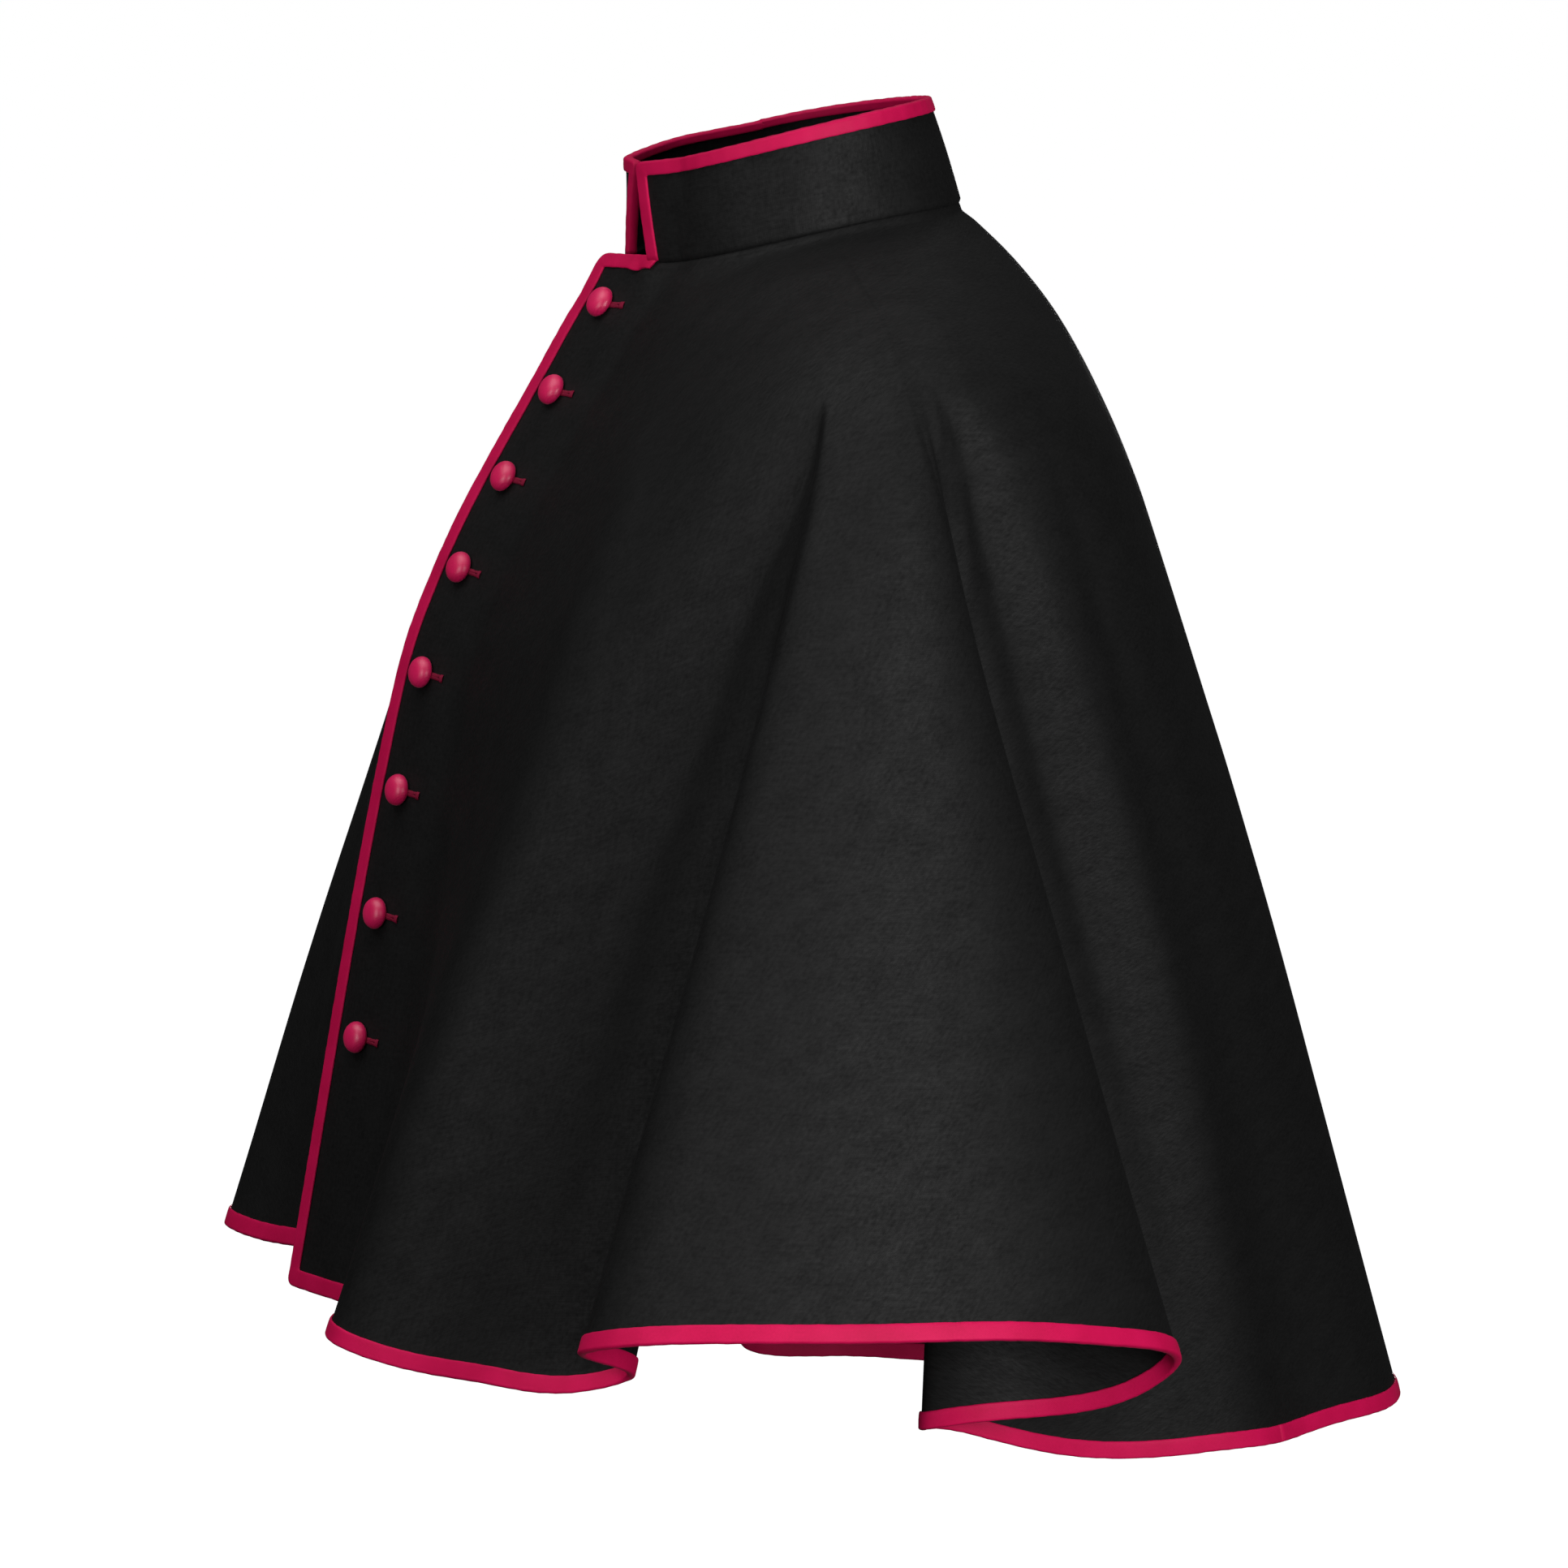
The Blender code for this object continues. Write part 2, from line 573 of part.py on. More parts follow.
def collar_normals(v, h):
    """Unit normals of the collar, pointing towards the wearer."""
    dv = collar_points(np.clip(v + STEP, 0, 1), h) - collar_points(np.clip(v - STEP, 0, 1), h)
    dh = collar_points(v, h + STEP) - collar_points(v, h - STEP)
    n = np.cross(dh, dv)
    return n / np.linalg.norm(n, axis=-1, keepdims=True)


def collar_insets():
    """The widths of the collar's binding: at its ends as a share of v, at its top as a share of h."""
    ends = np.array([0.0, 1.0])
    height = np.linalg.norm(collar_points(ends, ends * 0 + 1) - collar_points(ends, ends * 0), axis=-1)
    ring = collar_points(np.linspace(0, 1, SAMPLES), np.ones(SAMPLES))
    length = np.linalg.norm(np.diff(ring, axis=0), axis=1).sum()
    return COLLAR_END_BINDING / length, COLLAR_BINDING / height.mean()


def collar():
    """The stand-up band, with points close under each edge of its binding."""
    in_v, in_h = collar_insets()
    inner = CORNER_CLEAR * in_v
    columns = np.sort([*np.linspace(0, 1, COLLAR_COLUMNS), inner, 1 - inner])
    v, h = np.meshgrid(columns, (0, COLLAR_MIDDLE, 1 - in_h, 1), indexing="ij")
    wall("collar", collar_points(v, h), collar_normals(v, h), COLLAR_WALL, BLACK_CLOTH)


def collar_sections(edge_v, edge_h, leg_v, leg_h, corner):
    """Binding sections along a run of the collar's edge."""
    edge_v, edge_h, leg_v, leg_h = np.broadcast_arrays(*np.atleast_1d(edge_v, edge_h, leg_v, leg_h))
    return binding_sections(
        collar_points(edge_v, edge_h),
        collar_normals(edge_v, edge_h),
        collar_points(leg_v, leg_h),
        collar_normals(leg_v, leg_h),
        corner,
        COLLAR_WALL,
    )


def collar_binding():
    """One strip: up the right end, over the top edge and down the left end."""
    in_v, in_h = collar_insets()
    up = np.array([0, COLLAR_MIDDLE, 1 - CORNER_CLEAR * in_h])
    inner = CORNER_CLEAR * in_v
    along = np.linspace(0, 1, COLLAR_COLUMNS)
    along = np.array([inner, *along[(along > inner) & (along < 1 - inner)], 1 - inner])
    square = 2**0.5
    sections = [
        collar_sections(1.0, up, 1 - in_v, up, 1),
        collar_sections(1.0, 1.0, 1 - in_v, 1 - in_h, square),
        collar_sections(along[::-1], 1.0, along[::-1], 1 - in_h, 1),
        collar_sections(0.0, 1.0, in_v, 1 - in_h, square),
        collar_sections(0.0, up[::-1], in_v, up[::-1], 1),
    ]
    loft("collar_binding", np.concatenate(sections), CRIMSON_CLOTH)


def button(number, place):
    """A domed covered button, turned from its profile and set square on the left front."""
    made = bmesh.new()
    profile = [made.verts.new((r * BUTTON_DIAMETER / 2, 0, z * BUTTON_HEIGHT)) for r, z in BUTTON_PROFILE]
    edges = [made.edges.new(pair) for pair in zip(profile, profile[1:])]
    bmesh.ops.spin(
        made,
        geom=profile + edges,
        axis=(0, 0, 1),
        cent=(0, 0, 0),
        steps=BUTTON_SIDES,
        angle=2 * pi,
        use_merge=True,
    )
    bmesh.ops.remove_doubles(made, verts=made.verts, dist=1e-6)
    item = finish_mesh(made, f"button_{number}", CRIMSON_BUTTON)
    t = np.array([LEFT.down(0, place.down * CM)])
    u = LEFT.inset(t, place.inward * CM)
    seat, normal = LEFT.surface(u, t)[0], LEFT.normals(u, t)[0]
    down_cloth = LEFT.surface(u, t + STEP)[0] - seat
    z_axis = Vector(normal)
    x_axis = Vector(down_cloth).cross(z_axis).normalized()
    y_axis = z_axis.cross(x_axis)
    foot = Vector(seat) + z_axis * (WALL / 2 + BUTTON_SEAT)
    item.matrix_world = Matrix.Translation(foot) @ Matrix((x_axis, y_axis, z_axis)).transposed().to_4x4()


def main():
    for item in list(bpy.data.objects):
        bpy.data.objects.remove(item)
    cape("cape_left", LEFT)
    cape("cape_right", RIGHT)
    collar()
    collar_binding()
    edge_binding_left()
    edge_binding_right()
    for number, place in enumerate(BUTTONS, 1):
        button(number, place)


if __name__ == "__main__":
    main()
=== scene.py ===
"""The looks of a mozzetta: an elbow-length cape of black wool, filled out as if worn.

It has a stand-up collar, a crimson binding on every edge, and crimson covered buttons with worked
buttonholes down the lapped front. The wearer faces -Y, the wearer's left is +X and +Z is up; the
origin is the middle of the neckline. Lengths are metres, and the tables of the form are centimetres.

Each half of the cape is one surface P(u, t), as in the solids it stands for: u runs round the half
from its front edge (0) to the centre back (1), and t down the cloth from the collar seam (0) to the
hem (1). Creases and seams are soft ridges and troughs raised along its normal.
"""

import logging
from collections.abc import Callable
from dataclasses import dataclass, field
from enum import Enum

import bpy
import numpy as np
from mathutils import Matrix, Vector


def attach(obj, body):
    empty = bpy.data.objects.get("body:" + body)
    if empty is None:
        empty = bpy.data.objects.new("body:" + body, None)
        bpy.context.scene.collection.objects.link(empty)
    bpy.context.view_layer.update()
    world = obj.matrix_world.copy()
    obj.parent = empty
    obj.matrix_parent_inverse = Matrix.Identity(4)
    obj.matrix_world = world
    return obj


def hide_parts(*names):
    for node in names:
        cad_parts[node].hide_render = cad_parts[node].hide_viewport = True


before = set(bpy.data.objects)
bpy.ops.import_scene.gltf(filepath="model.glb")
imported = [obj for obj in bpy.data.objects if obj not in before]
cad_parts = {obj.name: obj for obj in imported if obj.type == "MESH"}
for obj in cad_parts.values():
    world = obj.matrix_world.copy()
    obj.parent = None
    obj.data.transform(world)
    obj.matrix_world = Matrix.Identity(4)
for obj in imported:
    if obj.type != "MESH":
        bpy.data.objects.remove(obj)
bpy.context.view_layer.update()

log = logging.getLogger("mozzetta")

Array = np.ndarray
Pair = tuple[float, float]
Triple = tuple[float, float, float]
Material = bpy.types.Material
Object = bpy.types.Object
Socket = bpy.types.NodeSocket
Node = bpy.types.Node

CM = 0.01
MM = 0.001
BODY = "root"
STEP = 1e-4  # of u and t, for measuring slopes
SAMPLES = 2000  # for measuring along a curve

WALL = 1.6 * MM
COLLAR_WALL = 2.2 * MM
BACK_LAP = 0.1 * MM  # of the two halves at the centre back, so that no light shows between them
HEM_BINDING = 6.9 * MM
TOP_BINDING = 6.0 * MM  # over the neckline's extension
COLLAR_BINDING = 5.2 * MM
COLLAR_END_BINDING = 4.4 * MM
BINDING_LIFT = 1.1 * MM  # how far a binding's face stands off the cloth's face
BINDING_JOIN = 0.84  # u on the left half where the hem's two strips meet
JOIN_NOTCH = 0.0003  # of u between them
LEG_RADIUS = 0.8 * MM  # of the small arc that a strip's own edge turns at a corner


# Curves


def ease(x: Array) -> Array:
    """0 below 0, 1 above 1, and a smooth step between."""
    x = np.clip(x, 0, 1)
    return x * x * (3 - 2 * x)


def bell(x: Array) -> Array:
    """A smooth hump of height 1 at 0, which has died away by 2.5 to each side."""
    return np.exp(-x * x)


def unit(vectors: Array) -> Array:
    """The vectors at length 1."""
    return vectors / np.linalg.norm(vectors, axis=-1, keepdims=True)


def slopes(xs: Array, ys: Array) -> Array:
    """Slopes for a smooth curve that rises and falls only where its rows do.

    A row's slope is the weighted harmonic mean of the slopes on its two sides, or 0 at a turn.

    Args:
        xs: where the rows are, rising.
        ys: the rows, one for each x.

    Returns:
        One slope for each number in ys.
    """
    steps = np.diff(xs)[:, None]
    rates = np.diff(ys, axis=0) / steps
    found = np.zeros_like(ys)
    same = rates[1:] * rates[:-1] > 0
    weight_a = 2 * steps[1:] + steps[:-1]
    weight_b = steps[1:] + 2 * steps[:-1]
    with np.errstate(divide="ignore", invalid="ignore"):
        mean = (weight_a + weight_b) / (weight_a / rates[:-1] + weight_b / rates[1:])
    found[1:-1] = np.where(same, mean, 0)
    found[0], found[-1] = rates[0], rates[-1]
    return found


def hermite(rows: Array, rates: Array, index: Array, step: Array, w: Array) -> Array:
    """The cubic between rows index and index + 1, at the share w of the step between them."""
    start = rows[index] * (1 + 2 * w) * (1 - w) ** 2 + rates[index] * step * w * (1 - w) ** 2
    end = rows[index + 1] * w**2 * (3 - 2 * w) + rates[index + 1] * step * w**2 * (w - 1)
    return start + end


def smooth_rows(xs: Array, ys: Array, at: Array) -> Array:
    """The rows ys at xs, read at other values along the smooth curve through them.

    Args:
        xs: where the rows are, rising.
        ys: the rows, one for each x, of one or more numbers.
        at: the values to read at, of any shape.

    Returns:
        The rows read, with at's shape and one more axis.
    """
    xs = np.asarray(xs, float)
    ys = np.asarray(ys, float).reshape(len(xs), -1)
    at = np.clip(at, xs[0], xs[-1])
    k = np.clip(np.searchsorted(xs, at, side="right") - 1, 0, len(xs) - 2)
    step = (xs[k + 1] - xs[k])[..., None]
    return hermite(ys, slopes(xs, ys), k, step, (at - xs[k])[..., None] / step)


def spline(knots: Array, points: Array, at: Array, end_slope: Array) -> Array:
    """A curve through the points with even curvature: free at its start, its last slope given.

    Args:
        knots: where the points are, rising.
        points: one row of three numbers for each knot.
        at: a flat array of the values to read at.
        end_slope: the slope at the last knot.

    Returns:
        One point for each value.
    """
    n = len(knots)
    steps = np.diff(knots)
    inner = np.arange(1, n - 1)
    matrix = np.zeros((n, n))
    matrix[0, :2] = 2 * steps[0], steps[0]
    matrix[inner, inner - 1] = 1 / steps[:-1]
    matrix[inner, inner] = 2 / steps[:-1] + 2 / steps[1:]
    matrix[inner, inner + 1] = 1 / steps[1:]
    matrix[-1, -1] = 1
    jumps = np.diff(points, axis=0) / steps[:, None] ** 2
    right = np.concatenate([[3 * (points[1] - points[0])], 3 * (jumps[:-1] + jumps[1:]), [end_slope]])
    k = np.clip(np.searchsorted(knots, at, side="right") - 1, 0, n - 2)
    step = steps[k][:, None]
    return hermite(points, np.linalg.solve(matrix, right), k, step, (at - knots[k])[:, None] / step)


def run_length(points: Array) -> Array:
    """The distance along a row of points, from the first to each."""
    chords = np.linalg.norm(np.diff(points, axis=-2), axis=-1)
    return np.concatenate([np.zeros(chords.shape[:-1] + (1,)), np.cumsum(chords, axis=-1)], axis=-1)


def beside(x: Array) -> tuple[Array, Array]:
    """The values one step below x and one step above it, kept between 0 and 1."""
    return np.clip(x - STEP, 0, 1), np.clip(x + STEP, 0, 1)


def pressed(x: Array, y: Array) -> tuple[Array, Array]:
    """A square of cloth pressed into a quarter disc, in shares of its radius from its centre.

    x becomes x times the root of 1 - y squared / 2, and y the same with x.
    """
    return x * np.sqrt(1 - y * y / 2), y * np.sqrt(1 - x * x / 2)


# The form of the cape


@dataclass(frozen=True)
class Ring:
    """A ring of the form (cm): its reach and height at the centre front, the side and the back.

    neck is the share of the neckline's own height curve in the ring's heights, and roll the slope
    at which the ring rises towards the wearer's left.
    """

    way: float
    front: float
    front_z: float
    side: float
    side_z: float
    back: float
    back_z: float
    neck: float
    roll: float

    @property
    def numbers(self) -> tuple[float, ...]:
        """The sizes, without the way down to the ring."""
        heights = (self.front, self.front_z, self.side, self.side_z, self.back, self.back_z)
        return (*heights, self.neck, self.roll)


@dataclass(frozen=True)
class Fold:
    """A point of the hem (cm), and the angle on the form where its fold starts (degrees)."""

    name: str
    angle: float
    out: float
    back: float
    z: float


@dataclass(frozen=True)
class Spot:
    """A point on a crease's line: its u and t, the crease's half width and its rise there (cm)."""

    u: float
    t: float
    width: float
    rise: float


@dataclass(frozen=True)
class Crease:
    """A soft ridge (rise above 0) or trough (below 0) along a line of spots, top first.

    A lean above 0 makes the flank towards the centre back the steeper one, below 0 the other.
    """

    name: str
    lean: float
    spots: tuple[Spot, ...]


FORM = (
    Ring(0.000, 6.19, -1.25, 6.50, 0.32, 7.07, 1.16, 1, 0.05),
    Ring(0.008, 6.38, -1.62, 6.56, 0.02, 7.14, 0.79, 1, 0.05),
    Ring(0.020, 6.70, -2.15, 7.05, -0.27, 7.70, 0.29, 1, 0.05),
    Ring(0.060, 7.80, -3.90, 9.20, -0.55, 9.55, -1.65, 0.7, 0.035),
    Ring(0.120, 9.22, -6.40, 12.20, -1.45, 11.46, -4.40, 0.35, 0.018),
    Ring(0.200, 11.09, -9.60, 16.20, -2.80, 13.17, -8.30, 0.1, 0.005),
    Ring(0.260, 12.49, -12.10, 19.00, -4.40, 14.12, -11.40, 0, 0),
    Ring(0.320, 13.70, -14.60, 20.70, -7.20, 15.12, -14.80, 0, 0),
    Ring(0.400, 15.04, -18.00, 21.80, -11.20, 16.55, -19.30, 0, 0),
    Ring(0.500, 16.15, -22.60, 22.50, -16.80, 18.42, -24.80, 0, 0),
    Ring(1.000, 20.45, -45.70, 26.00, -45.50, 26.70, -52.20, 0, 0),
)
COLLAR_TOP = Ring(0, 6.24, 2.95, 6.30, 4.57, 5.60, 5.50, 1, 0.08)
COLLAR_SEAT = 0.9 * MM
LEFT_ENDS, RIGHT_ENDS = (22.2, 18.0), (27.0, 20.5)  # the collar's ends, at its seam and its top (degrees)
LAP_RISE = 0.25  # the neckline's extension stands this far above the collar's seam (cm)
LAP_ANGLE, LAP_FADE, LAP_WAY = 26.3, 1.2, 0.04  # it rises from here over these degrees, and fades down

LEFT_FOLDS = (
    Fold("front edge", 0, -2.5, -22.2, -45.9),
    Fold("strip", 8, 0.8, -21.05, -45.95),
    Fold("strip valley", 17, 4.0, -20.2, -46.0),
    Fold("chest ridge", 42, 10.0, -23.1, -45.9),
    Fold("chest", 54, 13.0, -20.6, -46.65),
    Fold("chest side", 65, 16.5, -17.9, -46.75),
    Fold("valley mouth", 71, 19.0, -15.0, -46.8),
    Fold("front valley", 73.5, 20.5, -12.9, -46.1),
    Fold("arm lip", 76, 26.0, -16.1, -43.7),
    Fold("arm lip side", 77.5, 28.0, -15.2, -43.1),
    Fold("arm front", 80, 30.5, -11.0, -42.65),
    Fold("arm", 83, 31.5, -5.0, -42.75),
    Fold("arm back", 85.4, 31.0, 1.0, -43.05),
    Fold("arm turn", 87, 29.0, 6.1, -43.95),
    Fold("arm curl", 88.2, 25.0, 9.7, -45.95),
    Fold("arm curl side", 89.2, 23.5, 8.5, -47.3),
    Fold("back valley side", 91.2, 21.5, 4.0, -48.4),
    Fold("back valley turn", 93.4, 20.9, 0.9, -48.7),
    Fold("back valley", 95.2, 20.0, 0.2, -49.0),
    Fold("back valley mouth", 96.8, 19.2, 0.9, -49.15),
    Fold("flank front", 99.2, 18.8, 3.2, -49.75),
    Fold("flank", 103.5, 18.0, 6.6, -50.8),
    Fold("flank back", 109, 17.0, 10.5, -51.4),
    Fold("back ridge", 121, 16.2, 15.5, -51.4),
    Fold("back hollow", 132, 14.2, 18.3, -51.6),
    Fold("back side", 144, 11.8, 21.4, -51.5),
    Fold("back turn", 156, 8.9, 24.4, -51.6),
    Fold("back", 167, 4.9, 26.0, -51.7),
    Fold("centre back", 180, 0.0, 26.7, -52.2),
)
RIGHT_FOLDS = (
    Fold("under-lap edge", 0, -1.5, -19.8, -44.5),
    Fold("under-lap", 10, 2.9, -21.45, -44.35),
    Fold("chest", 26, 6.0, -22.6, -44.55),
    Fold("chest ridge", 38, 9.0, -23.55, -44.45),
    Fold("chest turn", 50, 12.4, -22.0, -44.85),
    Fold("chest side", 62, 16.0, -18.6, -46.0),
    Fold("valley mouth", 70, 18.9, -15.0, -46.4),
    Fold("front valley", 73, 20.2, -12.3, -46.2),
    Fold("arm lip", 75.5, 25.0, -14.4, -44.2),
    Fold("arm lip side", 77.5, 27.2, -13.6, -43.6),
    Fold("arm front", 80, 29.6, -9.4, -43.4),
    Fold("arm", 83.2, 30.2, -3.6, -43.9),
    Fold("arm back", 85.8, 29.2, 2.2, -45.0),
    Fold("arm turn", 87.6, 26.6, 6.6, -46.8),
    Fold("arm curl", 89, 22.8, 8.2, -48.9),
    Fold("arm curl side", 90.4, 20.8, 6.4, -50.4),
    Fold("back valley side", 93.4, 18.8, 3.2, -51.8),
    Fold("back valley", 96.8, 17.2, 2.2, -52.7),
    Fold("flank", 103, 16.4, 6.6, -53.3),
    Fold("flank back", 110, 15.4, 11.4, -53.6),
    Fold("back ridge", 122, 14.9, 16.6, -53.5),
    Fold("back hollow", 133, 12.6, 19.4, -53.4),
    Fold("back side", 144, 10.9, 22.4, -53.1),
    Fold("back turn", 156, 8.0, 25.0, -52.7),
    Fold("back", 168, 4.2, 26.5, -52.3),
    Fold("centre back", 180, 0.0, 26.7, -52.2),
)
LEFT_CREASES = (
    Crease("neckline pull", 0.2, (
        Spot(0.075, 0.004, 0.35, 0.0), Spot(0.060, 0.015, 0.40, -0.15), Spot(0.040, 0.030, 0.55, 0.0),
    )),
    Crease("arm front dent", 0.3, (
        Spot(0.240, 0.266, 0.8, 0.0), Spot(0.236, 0.295, 1.0, -0.4), Spot(0.226, 0.340, 1.4, -0.75),
        Spot(0.206, 0.415, 2.0, -0.9), Spot(0.194, 0.550, 2.6, -0.9), Spot(0.188, 0.700, 3.0, -0.8),
        Spot(0.190, 0.850, 3.0, -0.45), Spot(0.194, 1.0, 3.0, 0.0),
    )),
    Crease("arm back dent", -0.42, (
        Spot(0.668, 0.272, 0.8, 0.0), Spot(0.682, 0.302, 1.1, -0.26), Spot(0.700, 0.340, 1.4, -0.38),
        Spot(0.724, 0.415, 1.7, -0.44), Spot(0.753, 0.520, 1.9, -0.45), Spot(0.779, 0.650, 2.0, -0.45),
        Spot(0.796, 0.800, 2.0, -0.3), Spot(0.806, 0.950, 1.8, -0.1),
    )),
    Crease("flank ridge", 0.3, (
        Spot(0.724, 0.270, 1.0, 0.0), Spot(0.753, 0.340, 1.2, 0.03), Spot(0.780, 0.430, 1.3, 0.1),
        Spot(0.808, 0.590, 1.4, 0.17), Spot(0.824, 0.770, 1.6, 0.15), Spot(0.834, 1.0, 1.8, 0.1),
    )),
    Crease("flank hollow", -0.2, (
        Spot(0.800, 0.290, 1.2, 0.0), Spot(0.816, 0.420, 1.8, -0.35), Spot(0.842, 0.620, 2.2, -0.4),
        Spot(0.858, 0.800, 2.6, -0.35), Spot(0.866, 1.0, 2.8, -0.2),
    )),
    Crease("chest ridge", -0.1, (
        Spot(0.100, 0.150, 1.6, 0.0), Spot(0.112, 0.330, 2.2, 0.3), Spot(0.122, 0.560, 2.6, 0.45),
        Spot(0.126, 0.800, 2.8, 0.45), Spot(0.130, 1.0, 2.8, 0.15),
    )),
    Crease("strip hollow", 0.1, (
        Spot(0.030, 0.300, 1.3, 0.0), Spot(0.052, 0.500, 1.6, -0.15), Spot(0.060, 0.700, 1.9, -0.2),
        Spot(0.075, 0.880, 2.2, -0.1), Spot(0.085, 1.0, 2.2, 0.0),
    )),
    Crease("back fold", 0.2, (
        Spot(0.925, 0.200, 1.4, 0.0), Spot(0.930, 0.450, 2.0, 0.25), Spot(0.936, 0.750, 2.6, 0.3),
        Spot(0.940, 1.0, 2.8, 0.15),
    )),
)
RIGHT_CREASES = (
    Crease("arm front dent", 0.4, (
        Spot(0.300, 0.250, 0.8, 0.0), Spot(0.285, 0.300, 1.1, -0.4), Spot(0.268, 0.380, 1.6, -0.6),
        Spot(0.250, 0.480, 2.1, -0.6), Spot(0.240, 0.620, 2.6, -0.4), Spot(0.236, 0.800, 2.8, 0.0),
    )),
    Crease("arm back dent", -0.45, (
        Spot(0.640, 0.265, 0.7, 0.0), Spot(0.662, 0.310, 1.0, -0.4), Spot(0.692, 0.380, 1.3, -0.6),
        Spot(0.728, 0.500, 1.6, -0.6), Spot(0.752, 0.640, 1.7, -0.4), Spot(0.765, 0.820, 1.6, 0.0),
    )),
    Crease("flank ridge", 0.4, (
        Spot(0.735, 0.280, 1.0, 0.0), Spot(0.765, 0.400, 1.3, 0.3), Spot(0.788, 0.600, 1.6, 0.35),
        Spot(0.800, 1.0, 2.0, 0.3),
    )),
    Crease("flank hollow", -0.1, (
        Spot(0.800, 0.320, 1.3, 0.0), Spot(0.822, 0.520, 1.8, -0.3), Spot(0.836, 0.760, 2.3, -0.3),
        Spot(0.842, 1.0, 2.5, -0.2),
    )),
    Crease("chest hollow", 0.1, (
        Spot(0.100, 0.320, 1.5, 0.0), Spot(0.118, 0.560, 2.1, -0.2), Spot(0.135, 0.850, 2.6, -0.1),
        Spot(0.150, 1.0, 2.6, 0.0),
    )),
    Crease("back fold", -0.2, (
        Spot(0.915, 0.240, 1.5, 0.0), Spot(0.920, 0.500, 2.2, 0.3), Spot(0.926, 1.0, 2.8, 0.2),
    )),
)


@dataclass
class HalfCape:
    """One half of the cape: the wall of wool from its front edge to the centre back."""

    name: str
    side: int  # +1 is the wearer's left
    edge: float  # how far its front edge lies from the centre front, towards its own side (cm)
    folds: tuple[Fold, ...]
    creases: tuple[Crease, ...]
    cut: Pair = (0.77, 0.68)  # the rectangle that its flat piece is cut from (m)
    corner_top: float = 0.0  # radius of the front edge's upper corner
    corner_low: float = 0.0  # and of its lower one
    prow_slope: float = 0.36  # cm forward for each cm across
    prow_x: Triple = (2.5, -2.9, -10.0)  # where the fronts start to stand forward, crest and end (cm)
    prow_fade: float = 0.5  # it fades out over this share of the ring before the side
    tuck: float = 0.7  # the right front lies this far inside the left one (cm)
    tuck_x: Pair = (-7.5, -3.2)  # x where that starts and where it is whole (cm)
    fold_start: float = 0.27  # t where the hem's folds start to grow
    fold_power: float = 1.12
    soft_start: float = 0.03  # there they are a mean over this much of u, and less further down
    soft_power: float = 2.0
    soft_margin: float = 0.1  # and less near the two edges
    seam_dip: float = 0.7 * MM
    seam_width: float = 1.6 * MM
    ripple: float = 0.35 * MM
    ripple_margin: Pair = (0.05, 0.2)  # of u and t, where it fades in
    columns_made: int = 230
    rows_made: int = 150
    angles: Array = field(init=False)
    points: Array = field(init=False)
    knots: Array = field(init=False)

    def __post_init__(self) -> None:
        """Spaces the hem's points by their distances."""
        self.angles = np.array([fold.angle for fold in self.folds])
        self.points = np.array([(fold.out, fold.back, fold.z) for fold in self.folds])
        self.knots = run_length(self.points)
        self.knots /= self.knots[-1]

    def prow(self, x: Array) -> Array:
        """How far the fronts stand forward at x (cm): up to the lapped edge, and back behind it.

        Args:
            x: towards the wearer's left (cm).

        Returns:
            The distance forward: a straight rise to the crest, then a smooth fall.
        """
        start, crest, end = self.prow_x
        rise = np.where(x > start, 0, self.prow_slope * (start - x))
        top = self.prow_slope * (start - crest)
        return np.where(x < crest, top * (1 - ease((crest - x) / (crest - end))), rise)

    def ring_points(self, ring: Array, angle: Array) -> Array:
        """Points on one or more rings.

        In front, across = out / side reach and along = the root of 1 - across squared; behind, an
        ellipse. The height runs from the side's to the front's or back's with along squared. The
        neckline's own height is a parabola in y through the three.

        Args:
            ring: the rings' sizes, in the last axis (cm).
            angle: 0 at the front edge, 90 at the side, 180 at the centre back (degrees).

        Returns:
            Points (cm).
        """
        reach_f, z_f, reach_s, z_s, reach_b, z_b, neck, roll = (ring[..., i] for i in range(8))
        front = angle < 90
        turn = np.sin(np.radians(angle))
        out = np.where(front, self.edge + (reach_s - self.edge) * turn, reach_s * turn)
        across = np.clip(np.where(out > 0, out, 0) / reach_s, 0, 1)
        along = np.where(front, np.sqrt(1 - across**2), np.abs(np.cos(np.radians(angle))))
        x = self.side * out
        back = np.where(front, -reach_f, reach_b) * along
        z = z_s + np.where(front, z_f - z_s, z_b - z_s) * along**2
        rise_f, rise_b = (z_f - z_s) / reach_f, (z_b - z_s) / reach_b
        bend = (rise_f + rise_b) / (reach_f + reach_b)
        neck_z = z_s + (rise_b - bend * reach_b) * back + bend * back**2
        z = z + neck * (neck_z - z) + roll * x
        back = back - np.where(front, self.prow(x) * ease(along / self.prow_fade), 0)
        if self.side < 0:
            low, high = self.tuck_x
            back = back + np.where(front, self.tuck * ease((x - low) / (high - low)), 0)
        return np.stack([x, back, z], -1)

    def form(self, angle: Array, way: Array) -> Array:
        """The smooth form without folds (cm).

        Args:
            angle: 0 at the front edge, 180 at the centre back (degrees).
            way: down the rings, 0 to 1.

        Returns:
            Points on the smooth curves through the rings.
        """
        rings = smooth_rows([ring.way for ring in FORM], [ring.numbers for ring in FORM], way)
        points = self.ring_points(rings, angle)
        if self.side > 0:
            points[..., 2] += LAP_RISE * ease((LAP_ANGLE - angle) / LAP_FADE) * ease(1 - way / LAP_WAY)
        return points

    def angle(self, u: Array) -> Array:
        """The angle on the form at which each column starts."""
        return smooth_rows(self.knots, self.angles, u)[..., 0]

